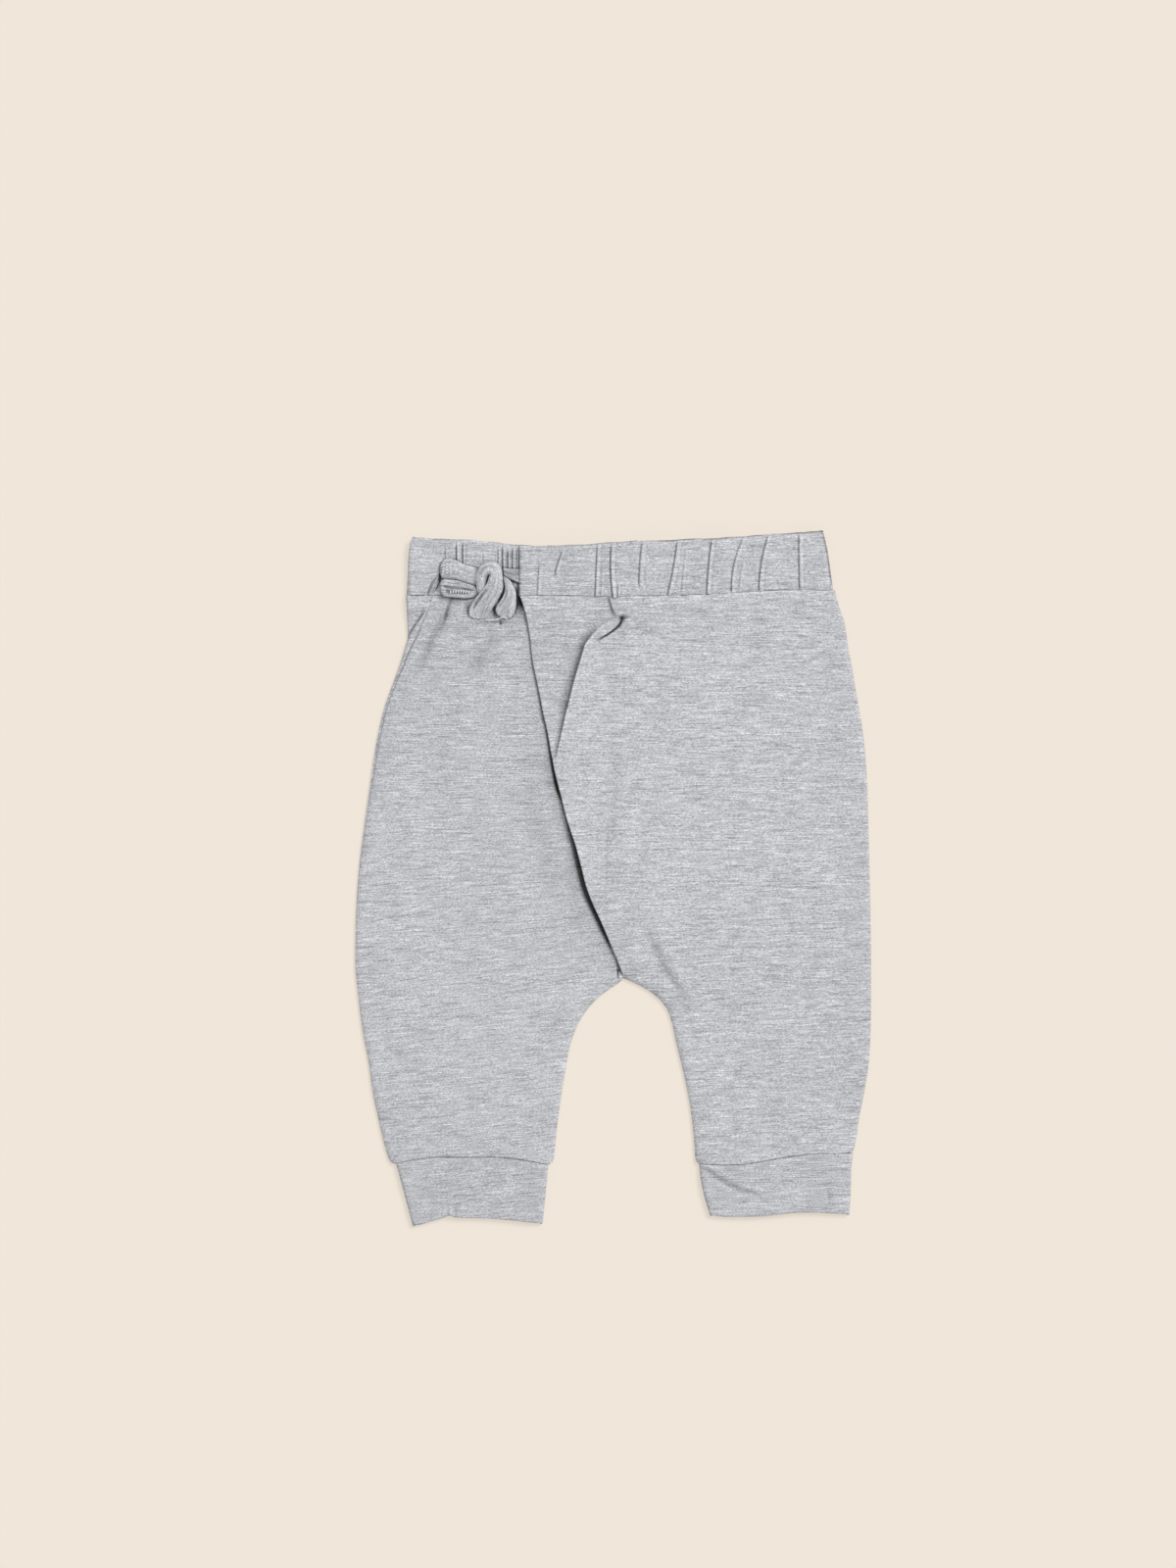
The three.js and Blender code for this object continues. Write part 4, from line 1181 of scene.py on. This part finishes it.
def band_columns(low, high, breaks, fine_ends):
    """Columns from low to high; each break gives a place and the step up to it."""
    at, parts = low, []
    for place, step in breaks + [(high / MM, breaks[-1][1])]:
        end = min(place * MM, high)
        if end > at:
            count = max(2, int((end - at) / (step * MM)))
            parts.append(at + (end - at) * np.linspace(0, 1, count, endpoint=False))
            at = end
    x = np.append(np.concatenate(parts), high)
    near = EDGE_STEPS[:7]
    if fine_ends[0]:
        x = np.concatenate([low + near, x[x > low + 2.0 * MM]])
    if fine_ends[1]:
        x = np.concatenate([x[x < high - 2.0 * MM], (high - near)[::-1]])
    return x


def band_rows(steps):
    """Each row's level in the waistband, from 1 at the top edge to 0 at the seam, and about its y."""
    levels = np.concatenate([CROWN_LEVELS, np.linspace(0.9, 0.1, steps), FOOT_LEVELS])
    return zip(levels, WAIST + levels * BAND_HIGH)


def band_y(x, level):
    """y of a point of the waistband."""
    seam, top = waist_seam(x) + SEAM, band_top(x) - 0.4 * MM
    return seam + (top - seam) * level


def band_stretch(name, node, pinches, low_at, high_at, base, columns, fine_ends, seed, steps):
    """One stretch of the waistband's front, from its seam to its rounded top edge."""
    sizes = bpy.context.scene.cloth_sizes
    ends = low_at(WAIST + BAND_HIGH / 2), high_at(WAIST + BAND_HIGH / 2)
    share = (band_columns(*ends, columns, fine_ends) - ends[0]) / (ends[1] - ends[0])
    rows, painted_shadings = [], []
    for level, about_y in band_rows(steps):
        low, high = low_at(about_y), high_at(about_y)
        x = low + (high - low) * share
        bumps = 0.25 * MM * waves(x, 0 * x, seed, 5 * MM, 24 * MM) * ease(level, 0.7, 1)
        y = band_y(x, level) + bumps * ease(np.minimum(x - low, high - x), 0, 5 * MM)
        relief, dark = pinch_relief(pinches, x, np.full_like(x, level))
        folds, painted_trough_shade = fold_relief(FOLDS_BAND, x, y)
        z = base(x) + relief + folds
        z += 0.14 * MM * waves(x, y, seed + 1, 6 * MM, 26 * MM, stretch=0.35)
        uneven = (0.75 + 0.25 * waves(x, 0 * x, seed, 3 * MM, 14 * MM)) * seam_strength(x)
        z -= 0.3 * MM * bell(level * BAND_HIGH, 0.5 * MM) * uneven
        z -= 0.9 * MM * (1 - round_off((1 - level) * BAND_HIGH, 2.2 * MM))
        rows.append(np.stack([x, y, z], axis=-1))
        # painted shade: a dark line along the band's top edge
        rim = 0.7 * ease(level, 0.962, 0.99) * (0.5 + 0.5 * ease(x, -30 * MM, 60 * MM))
        rim = rim * np.clip(0.75 + waves(x, 0 * x, seed + 3, 6 * MM, 40 * MM), 0.15, 1)
        shade = dark * (1 - 0.2 * level) + painted_trough_shade + rim + tie_shade(x, y) + patches(SHADES, x, y)
        # painted shade along the band's right end, with a painted highlight just inside it
        if fine_ends[1]:
            inward = high - x
            end = 0.65 * bell(inward - 0.5 * MM, 0.5 * MM) - 0.12 * bell(inward - 1.8 * MM, 0.6 * MM)
            shade += end * ease(level, 0.02, 0.14) * (1 - 0.5 * ease(level, 0.8, 0.95))
        painted_shadings.append(np.clip(shade, *SHADE_RANGE))
    outer = np.array(rows)
    grain = lay_grain(outer, 0.02 * outer[..., 0], seed)
    bulge = (1, 0, 0 if fine_ends[0] else 1, 0 if fine_ends[1] else 0.6)
    piece = cloth_mesh(name, outer, sizes.band, grain, np.array(painted_shadings), bulge)
    finish_piece(piece, "jersey band", "band_jersey", node)


def waistband():
    """The back stretch, the left stretch below the wrap and the wrap's stretch."""
    sizes = bpy.context.scene.cloth_sizes
    side_z = sizes.band + 0.25 * MM

    def base(inward, over=0.0):
        """Height of the band away from its side edge; over is 1 where two stretches lie on the back's."""
        z = 2 * sizes.band + 0.5 * MM + 0.45 * MM * (1 - fade(inward, 4 * MM)) + over * (sizes.band + 0.5 * MM)
        return settle(z, side_z, round_off(inward, 2.4 * MM))

    band_stretch(
        "waistband_left_front",
        "waistband_left",
        PINCHES_LEFT,
        band_left,
        lambda y: 55.5 * MM,
        lambda x: base(x - band_left(158 * MM)),
        [(-97, 0.5), (-46.5, 0.22), (-40, 0.6), (60, 1.8)],
        (True, False),
        21,
        66,
    )
    band_stretch(
        "waistband_wrap_front",
        "waistband_wrap",
        PINCHES_WRAP,
        lambda y: -46.6 * MM,
        band_right,
        lambda x: base(band_right(158 * MM) - x, 1 - ease(x, 56 * MM, 68 * MM)),
        [(120, 0.3)],
        (False, True),
        22,
        26,
    )
    band_back(side_z)


def band_back(side_z):
    """The back stretch of the band, its outer face on the surface."""
    sizes = bpy.context.scene.cloth_sizes
    rng = np.random.default_rng(31)
    places = np.sort(rng.uniform(-98, 104, 13)) * MM
    rows = []
    for level, about_y in band_rows(16):
        x = graded(band_left(about_y), band_right(about_y), 260, (True, True))
        y = band_y(x, level)
        z = 0.08 * MM * (1 + waves(x, y, 33, 8 * MM, 30 * MM))
        for k, place in enumerate(places):
            lean = (level - 0.5) * ((k * 37) % 7 - 3) * 0.8 * MM
            z += (0.35 + 0.25 * ((k * 13) % 5) / 4) * MM * bell(x - place - lean, 0.6 * MM)
        z = np.clip(z, 0, None) + 0.6 * MM * bell(level * BAND_HIGH, 0.9 * MM)
        z += 0.8 * MM * (1 - round_off((1 - level) * BAND_HIGH, 2.0 * MM))
        z = settle(z, side_z, round_off(np.minimum(x - x[0], x[-1] - x), 2.0 * MM))
        rows.append(np.stack([x, y, z], axis=-1))
    outer = np.array(rows)
    grain = lay_grain(outer, 0.01 * outer[..., 0], 7)
    piece = cloth_mesh("waistband_back_stretch", outer, sizes.band, grain, None, (1, 0, 0, 0), flip=True)
    finish_piece(piece, "jersey band", "band_jersey", "waistband_back")


# ---- the cuffs ----


def cuff_piece(name, node, cuff, seed, tilt, base_shade):
    """A cuff: a doubled tube of jersey pressed flat."""
    wall = bpy.context.scene.cloth_sizes.cuff
    full = 2 * wall + 0.75 * MM
    radius = full / 2
    flat = np.linspace(0, 1, 120)
    arc = np.radians(np.linspace(-90, 90, 11))[1:-1]
    # round the tube: below, the right edge, on top, the left edge
    across = np.concatenate([flat, 0 * arc + 1, flat[::-1], 0 * arc])
    bulge_x = np.concatenate([0 * flat, np.cos(arc), 0 * flat, -np.cos(arc)]) * radius
    ring_z = np.concatenate([0 * flat, radius + radius * np.sin(arc), 0 * flat + full, radius - radius * np.sin(arc)])
    on_top = np.concatenate([0 * flat, ease(np.sin(arc), -1, 1), 0 * flat + 1, ease(-np.sin(arc), -1, 1)])
    puff = np.concatenate([0 * flat, 0 * arc, np.sin(np.pi * flat), 0 * arc])
    levels = np.concatenate([[0, 0.012, 0.03, 0.055], np.linspace(0.085, 0.93, 52), [0.952, 0.97, 0.983, 0.993, 1.0]])
    rows, painted_shadings = [], []
    for level in levels:
        low, high = cuff["left"](level), cuff["right"](level)
        x = low + radius + (high - low - 2 * radius) * across + bulge_x
        seam, hem = cuff["seam"](x) - SEAM, cuff["hem"](x) + 0.4 * MM
        y = seam + (hem - seam) * level
        relief, painted_trough_shade = fold_relief(FOLDS_CUFF, x, y)
        z = ring_z + 0.5 * MM * puff + (relief + 0.12 * MM * waves(x, y, seed, 7 * MM, 30 * MM)) * on_top
        pinch = 0.6 * MM * bell(level * CUFF_HIGH, 0.6 * MM)
        pinch += 0.55 * MM * (1 - round_off((1 - level) * CUFF_HIGH, 1.6 * MM))
        z = settle(z, radius, 1 - pinch / radius)
        rows.append(np.stack([x, y, z], axis=-1))
        # painted shade in the creases and soft patches on top; base_shade darkens the whole cuff
        painted_shadings.append((1.6 * painted_trough_shade + patches(SHADES, x, y)) * on_top + base_shade)
    outer = np.array(rows)[:, ::-1]
    grain = outer - tilt * np.roll(outer * (1, 0, 0), 1, axis=-1) + (0, 0, seed * 0.05)
    piece = cloth_mesh(name, outer, wall, grain, np.array(painted_shadings)[:, ::-1], (0, 1, 0, 0), around=True)
    finish_piece(piece, "jersey cuffs", "cuff_jersey", node)


# ---- the tie ----


def spine(rows, count):
    """Points and sizes along a strap: its table's rows joined by a smooth curve."""
    keys = list(rows)
    data = np.stack([rows[k] for k in keys], axis=-1)
    padded = np.concatenate([2 * data[:1] - data[1:2], data, 2 * data[-1:] - data[-2:-1]])
    t = np.linspace(0, len(data) - 1, count)
    i = np.minimum(t.astype(int), len(data) - 2)
    f = (t - i)[:, None]
    a, b, c, d = (padded[i + k] for k in range(4))
    values = 0.5 * (2 * b + (c - a) * f + (2 * a - 5 * b + 4 * c - d) * f**2 + (3 * b - a - 3 * c + d) * f**3)
    return {k: values[:, n] for n, k in enumerate(keys)}


def strap_mesh(name, rows, seed, grooves, count, square, shade=0.0, under=0.0, tuck_under=0.0):
    """A strap of rolled jersey between two edges, a tube pressed flat with creases along it.

    square makes its section boxier, shade paints all of it darker, under paints shade on its start, where it comes
    out from below, and tuck_under paints shade on its inner edge there. The painted shade on an edge that is tucked
    under fades at its end.
    """
    sides = 56
    s = spine(rows, count)
    left, right = np.stack([s["lx"], s["ly"]], axis=-1), np.stack([s["rx"], s["ry"]], axis=-1)
    middle, half = (left + right) / 2, (right - left) / 2
    angle = np.linspace(0, 2 * np.pi, sides, endpoint=False)
    c, q = np.cos(angle), np.sin(angle)
    px = (np.sign(c) * abs(c) ** (2 / square))[None]
    pz = (np.sign(q) * abs(q) ** (2 / square))[None]
    run = np.linspace(0, 1, count)[:, None]
    end = np.minimum(round_off(run, 0.04), round_off(1 - run, 0.05))
    length = np.cumsum(np.linalg.norm(np.gradient(middle, axis=0), axis=1))[:, None]
    across = px * np.linalg.norm(half, axis=1)[:, None]
    relief = 0.12 * MM * waves(length + 0 * px, across, seed, 2.2 * MM, 10 * MM, stretch=1.7)
    relief += 0.07 * MM * waves(across, across + 0.1 * length, seed + 9, 0.8 * MM, 2.4 * MM)
    # painted shade along the edges, at the start, on the tucked inner edge and in the grooves
    dark = shade + 0.22 * ease(abs(px), 0.86, 1.0) * (1 - tuck_under * ease(run, 0.84, 0.95))
    dark = dark + under * bell(length, 2.0 * MM)
    dark += 0.5 * tuck_under * ease(px, 0.35, 0.95) * (1 - ease(run, 0.2, 0.34))
    for place, depth, wide, start, stop in grooves:
        on = ease(run, start, start + 0.1) * (1 - ease(run, stop - 0.1, stop))
        cut = on * bell(px - place - 0.07 * np.sin(run * 9 + seed), wide) * (q[None] > 0)
        relief = relief - depth * MM * cut
        dark = np.maximum(dark, min(0.75, 0.1 + 0.6 * depth) * cut)
    thick = s["thick"][:, None] / 2 * (0.25 + 0.75 * end)
    flat = px * (0.8 + 0.2 * end)
    x = middle[:, :1] + half[:, :1] * flat
    y = middle[:, 1:] + half[:, 1:] * flat
    z = s["z"][:, None] + thick * pz + relief * np.clip(pz, 0, 1) ** 0.5 * end
    points = np.stack([x, y, z], axis=-1)
    grains = np.stack([length + 0.3 * across, across + seed * 0.02, 0 * across + seed * 0.07], axis=-1)
    ids = np.arange(count * sides).reshape(count, sides)
    loop = np.concatenate([ids, ids[:, :1]], axis=1)
    faces = np.stack([loop[:-1, :-1], loop[1:, :-1], loop[1:, 1:], loop[:-1, 1:]], axis=-1).reshape(-1, 4)
    a, b, tip = loop[:, :-1], loop[:, 1:], np.full(sides, count * sides)
    caps = [np.stack([a[0], b[0], tip], axis=-1), np.stack([b[-1], a[-1], tip + 1], axis=-1)]
    points, grains = (
        np.concatenate([v.reshape(-1, 3), v[0].mean(0)[None], v[-1].mean(0)[None]]) for v in (points, grains)
    )
    a, b, c, d = (points[faces[:, k]] for k in range(4))
    from_centre = a - points.mean(0)
    if (np.cross(b - a, c - a) * from_centre).sum() + (np.cross(c - a, d - a) * from_centre).sum() < 0:
        faces, caps = faces[:, ::-1], [cap[:, ::-1] for cap in caps]
    faces = faces.tolist() + [f for cap in caps for f in cap.tolist()]
    # the two cap tips are painted a little dark
    return build_mesh(name, points, faces, grains, np.concatenate([dark.reshape(-1), [0.2, 0.05]]))


# Straps of the tie: the two edges, the height of the middle and the thickness.
LOOP_UPPER = table(
    "lx ly rx ry z thick",
    (-68.3, 157.7, -69.6, 149.1, 6.5, 2.0),
    (-69.6, 158.1, -70.4, 148.9, 6.9, 3.0),
    (-73.3, 159.0, -73.3, 149.9, 7.2, 3.6),
    (-76.4, 160.0, -76.9, 151.1, 7.3, 3.8),
    (-80.0, 162.0, -80.5, 152.0, 7.3, 3.9),
    (-83.1, 162.9, -83.6, 152.3, 7.2, 3.8),
    (-85.4, 162.5, -86.0, 152.4, 7.0, 3.4),
    (-87.0, 160.8, -87.2, 153.0, 6.6, 2.6),
    (-87.9, 158.7, -87.8, 154.7, 6.2, 1.6),
)
LOOP_LOWER = table(
    "lx ly rx ry z thick",
    (-68.9, 147.9, -68.9, 144.3, 6.2, 1.7),
    (-70.9, 148.9, -70.9, 143.0, 6.6, 2.6),
    (-74.8, 150.25, -74.8, 142.3, 6.9, 3.2),
    (-79.0, 151.5, -78.5, 142.5, 7.0, 3.5),
    (-83.1, 152.15, -82.6, 142.9, 7.0, 3.4),
    (-86.0, 152.25, -86.0, 143.4, 6.8, 2.9),
    (-87.9, 150.9, -87.5, 144.9, 6.3, 1.8),
)
LONG_TAIL = table(
    "lx ly rx ry z thick",
    (-68.3, 143.4, -65.2, 146.0, 6.4, 1.8),
    (-69.4, 147.6, -64.7, 149.0, 7.1, 3.2),
    (-70.1, 151.2, -64.3, 151.4, 7.5, 3.8),
    (-69.4, 155.1, -63.9, 153.0, 7.8, 4.0),
    (-67.3, 159.0, -63.5, 153.9, 8.2, 4.0),
    (-64.0, 160.9, -63.1, 154.25, 8.6, 3.9),
    (-60.3, 160.9, -62.7, 154.2, 8.9, 3.8),
    (-57.5, 159.0, -62.7, 153.7, 9.1, 3.8),
    (-56.3, 155.4, -63.2, 152.7, 9.1, 3.8),
    (-56.0, 151.2, -63.8, 150.8, 9.0, 3.8),
    (-55.9, 147.6, -64.9, 148.7, 8.8, 3.8),
    (-56.8, 144.7, -66.7, 146.4, 8.5, 3.7),
    (-59.0, 140.8, -69.4, 143.2, 7.9, 3.4),
    (-61.4, 137.2, -72.0, 139.8, 7.0, 2.6),
    (-63.2, 134.4, -73.3, 136.2, 6.25, 1.6),
    (-64.5, 132.6, -72.8, 133.5, 5.85, 0.8),
    (-66.0, 131.8, -70.9, 132.1, 5.65, 0.4),
)
SHORT_TAIL = table(
    "lx ly rx ry z thick",
    (-56.0, 153.8, -54.4, 153.2, 6.9, 1.6),
    (-55.7, 151.6, -52.1, 151.3, 7.2, 2.6),
    (-55.2, 148.6, -50.3, 148.2, 7.4, 3.3),
    (-55.1, 146.0, -49.3, 145.0, 7.5, 3.6),
    (-56.3, 142.9, -49.2, 141.4, 7.4, 3.6),
    (-58.3, 139.8, -49.4, 137.7, 7.2, 3.3),
    (-59.7, 137.0, -50.0, 135.1, 6.9, 2.9),
    (-59.3, 134.6, -51.3, 133.0, 6.5, 2.2),
    (-57.3, 132.7, -53.5, 131.9, 6.1, 1.3),
)
RIGHT_STRAP = table(
    "lx ly rx ry z thick",
    (-56.0, 157.9, -55.4, 153.9, 6.0, 1.3),
    (-54.1, 157.8, -53.6, 152.8, 6.1, 1.5),
    (-51.0, 157.5, -51.0, 151.5, 6.1, 1.5),
    (-47.4, 157.4, -47.4, 150.1, 6.0, 1.2),
)


# Creases along the straps: place across, depth in mm, half width, start and end.
UPPER_GROOVES = (
    (-0.2, 0.3, 0.2, 0.1, 0.5),
    (0.6, 0.3, 0.12, 0.3, 0.9),
    (0.1, 0.5, 0.2, 0.82, 0.97),
    (-0.6, 0.25, 0.1, 0.4, 0.85),
)
LOWER_GROOVES = (
    (-0.12, 1.1, 0.12, 0.1, 0.9),
    (0.34, 0.9, 0.24, 0.2, 0.84),
    (-0.6, 0.5, 0.09, 0.15, 0.8),
    (-0.85, 0.4, 0.07, 0.3, 0.7),
)
LONG_GROOVES = (
    (0.66, 1.4, 0.13, 0.64, 0.9),
    (-0.25, 0.25, 0.12, 0.05, 0.45),
    (0.05, 0.2, 0.1, 0.5, 0.95),
    (-0.5, 0.2, 0.1, 0.45, 0.9),
    (0.35, 0.15, 0.08, 0.4, 0.7),
)
SHORT_GROOVES = (
    (-0.7, 0.6, 0.14, 0.3, 0.75),
    (0.15, 0.25, 0.14, 0.3, 0.9),
    (-0.2, 0.2, 0.1, 0.4, 0.95),
)
RIGHT_GROOVES = ((0.3, 0.3, 0.2, 0.1, 0.9),)


def tie():
    """The tie: a doubled strap with a stitched end, the knot, two tails and the strap to the right."""
    upper = strap_mesh("tie_upper_limb", LOOP_UPPER, 1, UPPER_GROOVES, 100, 2.5, under=0.6)
    lower = strap_mesh("tie_lower_limb", LOOP_LOWER, 2, LOWER_GROOVES, 100, 2.4, under=0.6)
    long_tail = strap_mesh("tie_long_tail", LONG_TAIL, 3, LONG_GROOVES, 170, 2.3, under=0.2, tuck_under=1.0)
    short_tail = strap_mesh("tie_short_end", SHORT_TAIL, 4, SHORT_GROOVES, 90, 2.4, under=0.3)
    right_strap = strap_mesh("tie_right_strap", RIGHT_STRAP, 5, RIGHT_GROOVES, 50, 3.0, shade=0.3)
    finish_piece(upper, "jersey tie", "tie_jersey", "tie_loop")
    finish_piece(lower, "jersey tie", "tie_jersey")
    finish_piece(long_tail, "jersey tie", "tie_jersey", "tie_knot")
    finish_piece(short_tail, "jersey tie", "tie_jersey", "tie_short_tail")
    finish_piece(right_strap, "jersey tie", "tie_jersey", "tie_strap")


def thread_mesh(name, runs, radius):
    """Short lengths of thread as thin tubes, joined in one mesh."""
    sides = 8
    turn = 2 * np.pi * np.arange(sides)[:, None] / sides
    points, faces = [], []
    for run in runs:
        run = np.array(run, float) * MM
        along = np.gradient(run, axis=0)
        along /= np.maximum(np.linalg.norm(along, axis=1, keepdims=True), 1e-12)
        across = np.cross(along, (0.13, 0.21, 0.97))
        across /= np.linalg.norm(across, axis=1, keepdims=True)
        above = np.cross(across, along)
        start = len(points) * sides
        swell = np.sin(np.linspace(0.25, np.pi - 0.25, len(run))) ** 0.35
        for p, s, u, w in zip(run, across, above, swell):
            points.append(p + (s * np.cos(turn) + u * np.sin(turn)) * radius * w)
        ring = np.arange(sides)
        for first in start + sides * np.arange(len(run) - 1):
            a, b = first + ring, first + (ring + 1) % sides
            faces += np.stack([a, b, b + sides, a + sides], axis=-1).tolist()
        faces.append((start + ring)[::-1].tolist())
        faces.append((start + (len(run) - 1) * sides + ring).tolist())
    return build_mesh(name, np.concatenate(points), faces)


def threads():
    """The row of stitches on the doubled end of the tie, and the loose ends below the tails."""
    runs = []
    for k in range(8):
        x, y = -82.6 + k * 1.32, 145.9 - 0.05 * k - 0.03 * (k - 4) ** 2
        runs.append([(x - 0.15, y - 0.8, 8.5), (x, y - 0.3, 9.0), (x + 0.1, y + 0.3, 9.0), (x + 0.2, y + 0.8, 8.6)])
    for k in range(12):
        x = -86.6 + 1.9 * (k % 3) + 0.5 * ((k * 7) % 4) / 4
        y = 154.4 + 1.5 * (k // 3) + 0.4 * ((k * 5) % 3)
        z = 8.35 + 0.42 * (k % 3)
        runs.append([(x - 0.4, y - 0.3, z), (x, y, z + 0.3), (x + 0.45, y + 0.25, z)])
    ends = [
        [(-65.5, 131.3, 6.1), (-63.0, 131.2, 6.3), (-60.5, 131.4, 6.5), (-58.2, 131.9, 7.0), (-56.3, 132.6, 7.4)],
        [(-57.2, 132.2, 7.1), (-55.8, 132.9, 7.4), (-54.3, 132.2, 7.1), (-53.1, 130.9, 6.2)],
        [(-67.9, 131.4, 5.9), (-66.2, 131.2, 6.0), (-64.6, 131.35, 5.9)],
    ]
    stitches = thread_mesh("tie_end_stitches", runs, 0.34 * MM)
    loose = thread_mesh("tie_loose_threads", ends, 0.23 * MM)
    for piece in (stitches, loose):
        finish_piece(piece, "sewing thread", "tie_jersey")


# ---- the stage ----


def camera():
    """Straight above the garment, framed as the photo frames it."""
    scene = bpy.context.scene
    data = bpy.data.cameras.new("camera")
    data.sensor_width = SENSOR
    data.lens = SENSOR * scene.studio.height / VIEW_HIGH
    scene.camera = bpy.data.objects.new("camera", data)
    scene.camera.location = (*VIEW_CENTRE, scene.studio.height)
    scene.collection.objects.link(scene.camera)


def stage():
    """Floor, soft key light and light from all round."""
    scene = bpy.context.scene
    corners = [(-1, -1), (1, -1), (1, 1), (-1, 1)]
    mesh = bpy.data.meshes.new("pale_floor")
    mesh.from_pydata([(x * FLOOR_HALF, y * FLOOR_HALF, 0) for x, y in corners], [], [(0, 1, 2, 3)])
    floor = bpy.data.objects.new("pale_floor", mesh)
    floor.location.z = -FLOOR_DROP
    floor.data.materials.append(studio_paper())
    scene.collection.objects.link(floor)
    key = bpy.data.lights.new("key", "SUN")
    key.energy = scene.studio.key
    key.angle = np.radians(KEY_SIZE)
    lamp = bpy.data.objects.new("key", key)
    lamp.rotation_euler = tuple(np.radians(KEY_TURN))
    scene.collection.objects.link(lamp)
    scene.world = bpy.data.worlds.new("studio")
    scene.world.use_nodes = True
    sky = scene.world.node_tree.nodes["Background"]
    sky.inputs[0].default_value = (1, 1, 1, 1)
    sky.inputs[1].default_value = scene.studio.ambient
    scene.view_settings.view_transform = "Standard"
    scene.view_settings.look = "None"


# ---- operators ----


class GARMENT_OT_camera(Operator):
    """Make the camera"""

    bl_idname = "garment.camera"
    bl_label = "Camera"

    def execute(self, context):
        camera()
        return {"FINISHED"}


class GARMENT_OT_stage(Operator):
    """Make the floor and the lights"""

    bl_idname = "garment.stage"
    bl_label = "Floor and lights"

    def execute(self, context):
        stage()
        return {"FINISHED"}


class GARMENT_OT_materials(Operator):
    """Make the jersey and thread materials"""

    bl_idname = "garment.materials"
    bl_label = "Materials"

    def execute(self, context):
        heather_jersey("jersey fronts", 1.0, 0.0)
        heather_jersey("jersey back", 0.97, 2.0)
        heather_jersey("jersey band", 0.965, 4.0)
        heather_jersey("jersey cuffs", 0.92, 5.0)
        heather_jersey("jersey tie", 1.0, 7.0)
        sewing_thread()
        return {"FINISHED"}


class GARMENT_OT_back(Operator):
    """Make the two halves of the back"""

    bl_idname = "garment.back"
    bl_label = "Back"

    def execute(self, context):
        half_back("left_back", -1, CUFF_LEFT, "back_left", 51)
        half_back("right_back", 1, CUFF_RIGHT, "back_right", 52)
        return {"FINISHED"}


class GARMENT_OT_left_front(Operator):
    """Make the left front"""

    bl_idname = "garment.left_front"
    bl_label = "Left front"

    def execute(self, context):
        left_front()
        return {"FINISHED"}


class GARMENT_OT_wrap_front(Operator):
    """Make the wrap, with its tuck"""

    bl_idname = "garment.wrap_front"
    bl_label = "Wrap front"

    def execute(self, context):
        wrap_front()
        return {"FINISHED"}


class GARMENT_OT_waistband(Operator):
    """Make the three stretches of the waistband"""

    bl_idname = "garment.waistband"
    bl_label = "Waistband"

    def execute(self, context):
        waistband()
        return {"FINISHED"}


class GARMENT_OT_cuffs(Operator):
    """Make both cuffs"""

    bl_idname = "garment.cuffs"
    bl_label = "Cuffs"

    def execute(self, context):
        cuff_piece("left_cuff", "cuff_left", CUFF_LEFT, 41, 0.09, 0.03)
        cuff_piece("right_cuff", "cuff_right", CUFF_RIGHT, 42, 0.03, 0.0)
        return {"FINISHED"}


class GARMENT_OT_tie(Operator):
    """Make the tie with its knot, stitches and loose threads"""

    bl_idname = "garment.tie"
    bl_label = "Tie"

    def execute(self, context):
        tie()
        threads()
        return {"FINISHED"}


OPERATORS = (
    GARMENT_OT_camera,
    GARMENT_OT_stage,
    GARMENT_OT_materials,
    GARMENT_OT_back,
    GARMENT_OT_left_front,
    GARMENT_OT_wrap_front,
    GARMENT_OT_waistband,
    GARMENT_OT_cuffs,
    GARMENT_OT_tie,
)


class GARMENT_PT_pieces(Panel):
    """Lists the pieces and the sizes they are made from"""

    bl_idname = "GARMENT_PT_pieces"
    bl_label = "Harem pants"
    bl_space_type = "VIEW_3D"
    bl_region_type = "UI"
    bl_category = "Garment"

    def draw(self, context):
        scene = context.scene
        for group in (scene.cloth_sizes, scene.cloth_colours, scene.studio):
            box = self.layout.box()
            for name in group.__annotations__:
                box.prop(group, name)
        for operator in OPERATORS:
            self.layout.operator(operator.bl_idname)


CLASSES = (ClothSizes, ClothColours, StudioSetting, *OPERATORS, GARMENT_PT_pieces)


def register():
    for cls in CLASSES:
        bpy.utils.register_class(cls)
    bpy.types.Scene.cloth_sizes = PointerProperty(type=ClothSizes)
    bpy.types.Scene.cloth_colours = PointerProperty(type=ClothColours)
    bpy.types.Scene.studio = PointerProperty(type=StudioSetting)


def unregister():
    for name in ("cloth_sizes", "cloth_colours", "studio"):
        delattr(bpy.types.Scene, name)
    for cls in reversed(CLASSES):
        bpy.utils.unregister_class(cls)


def main():
    register()
    for operator in OPERATORS:
        group, name = operator.bl_idname.split(".")
        getattr(getattr(bpy.ops, group), name)()


if __name__ == "__main__":
    main()
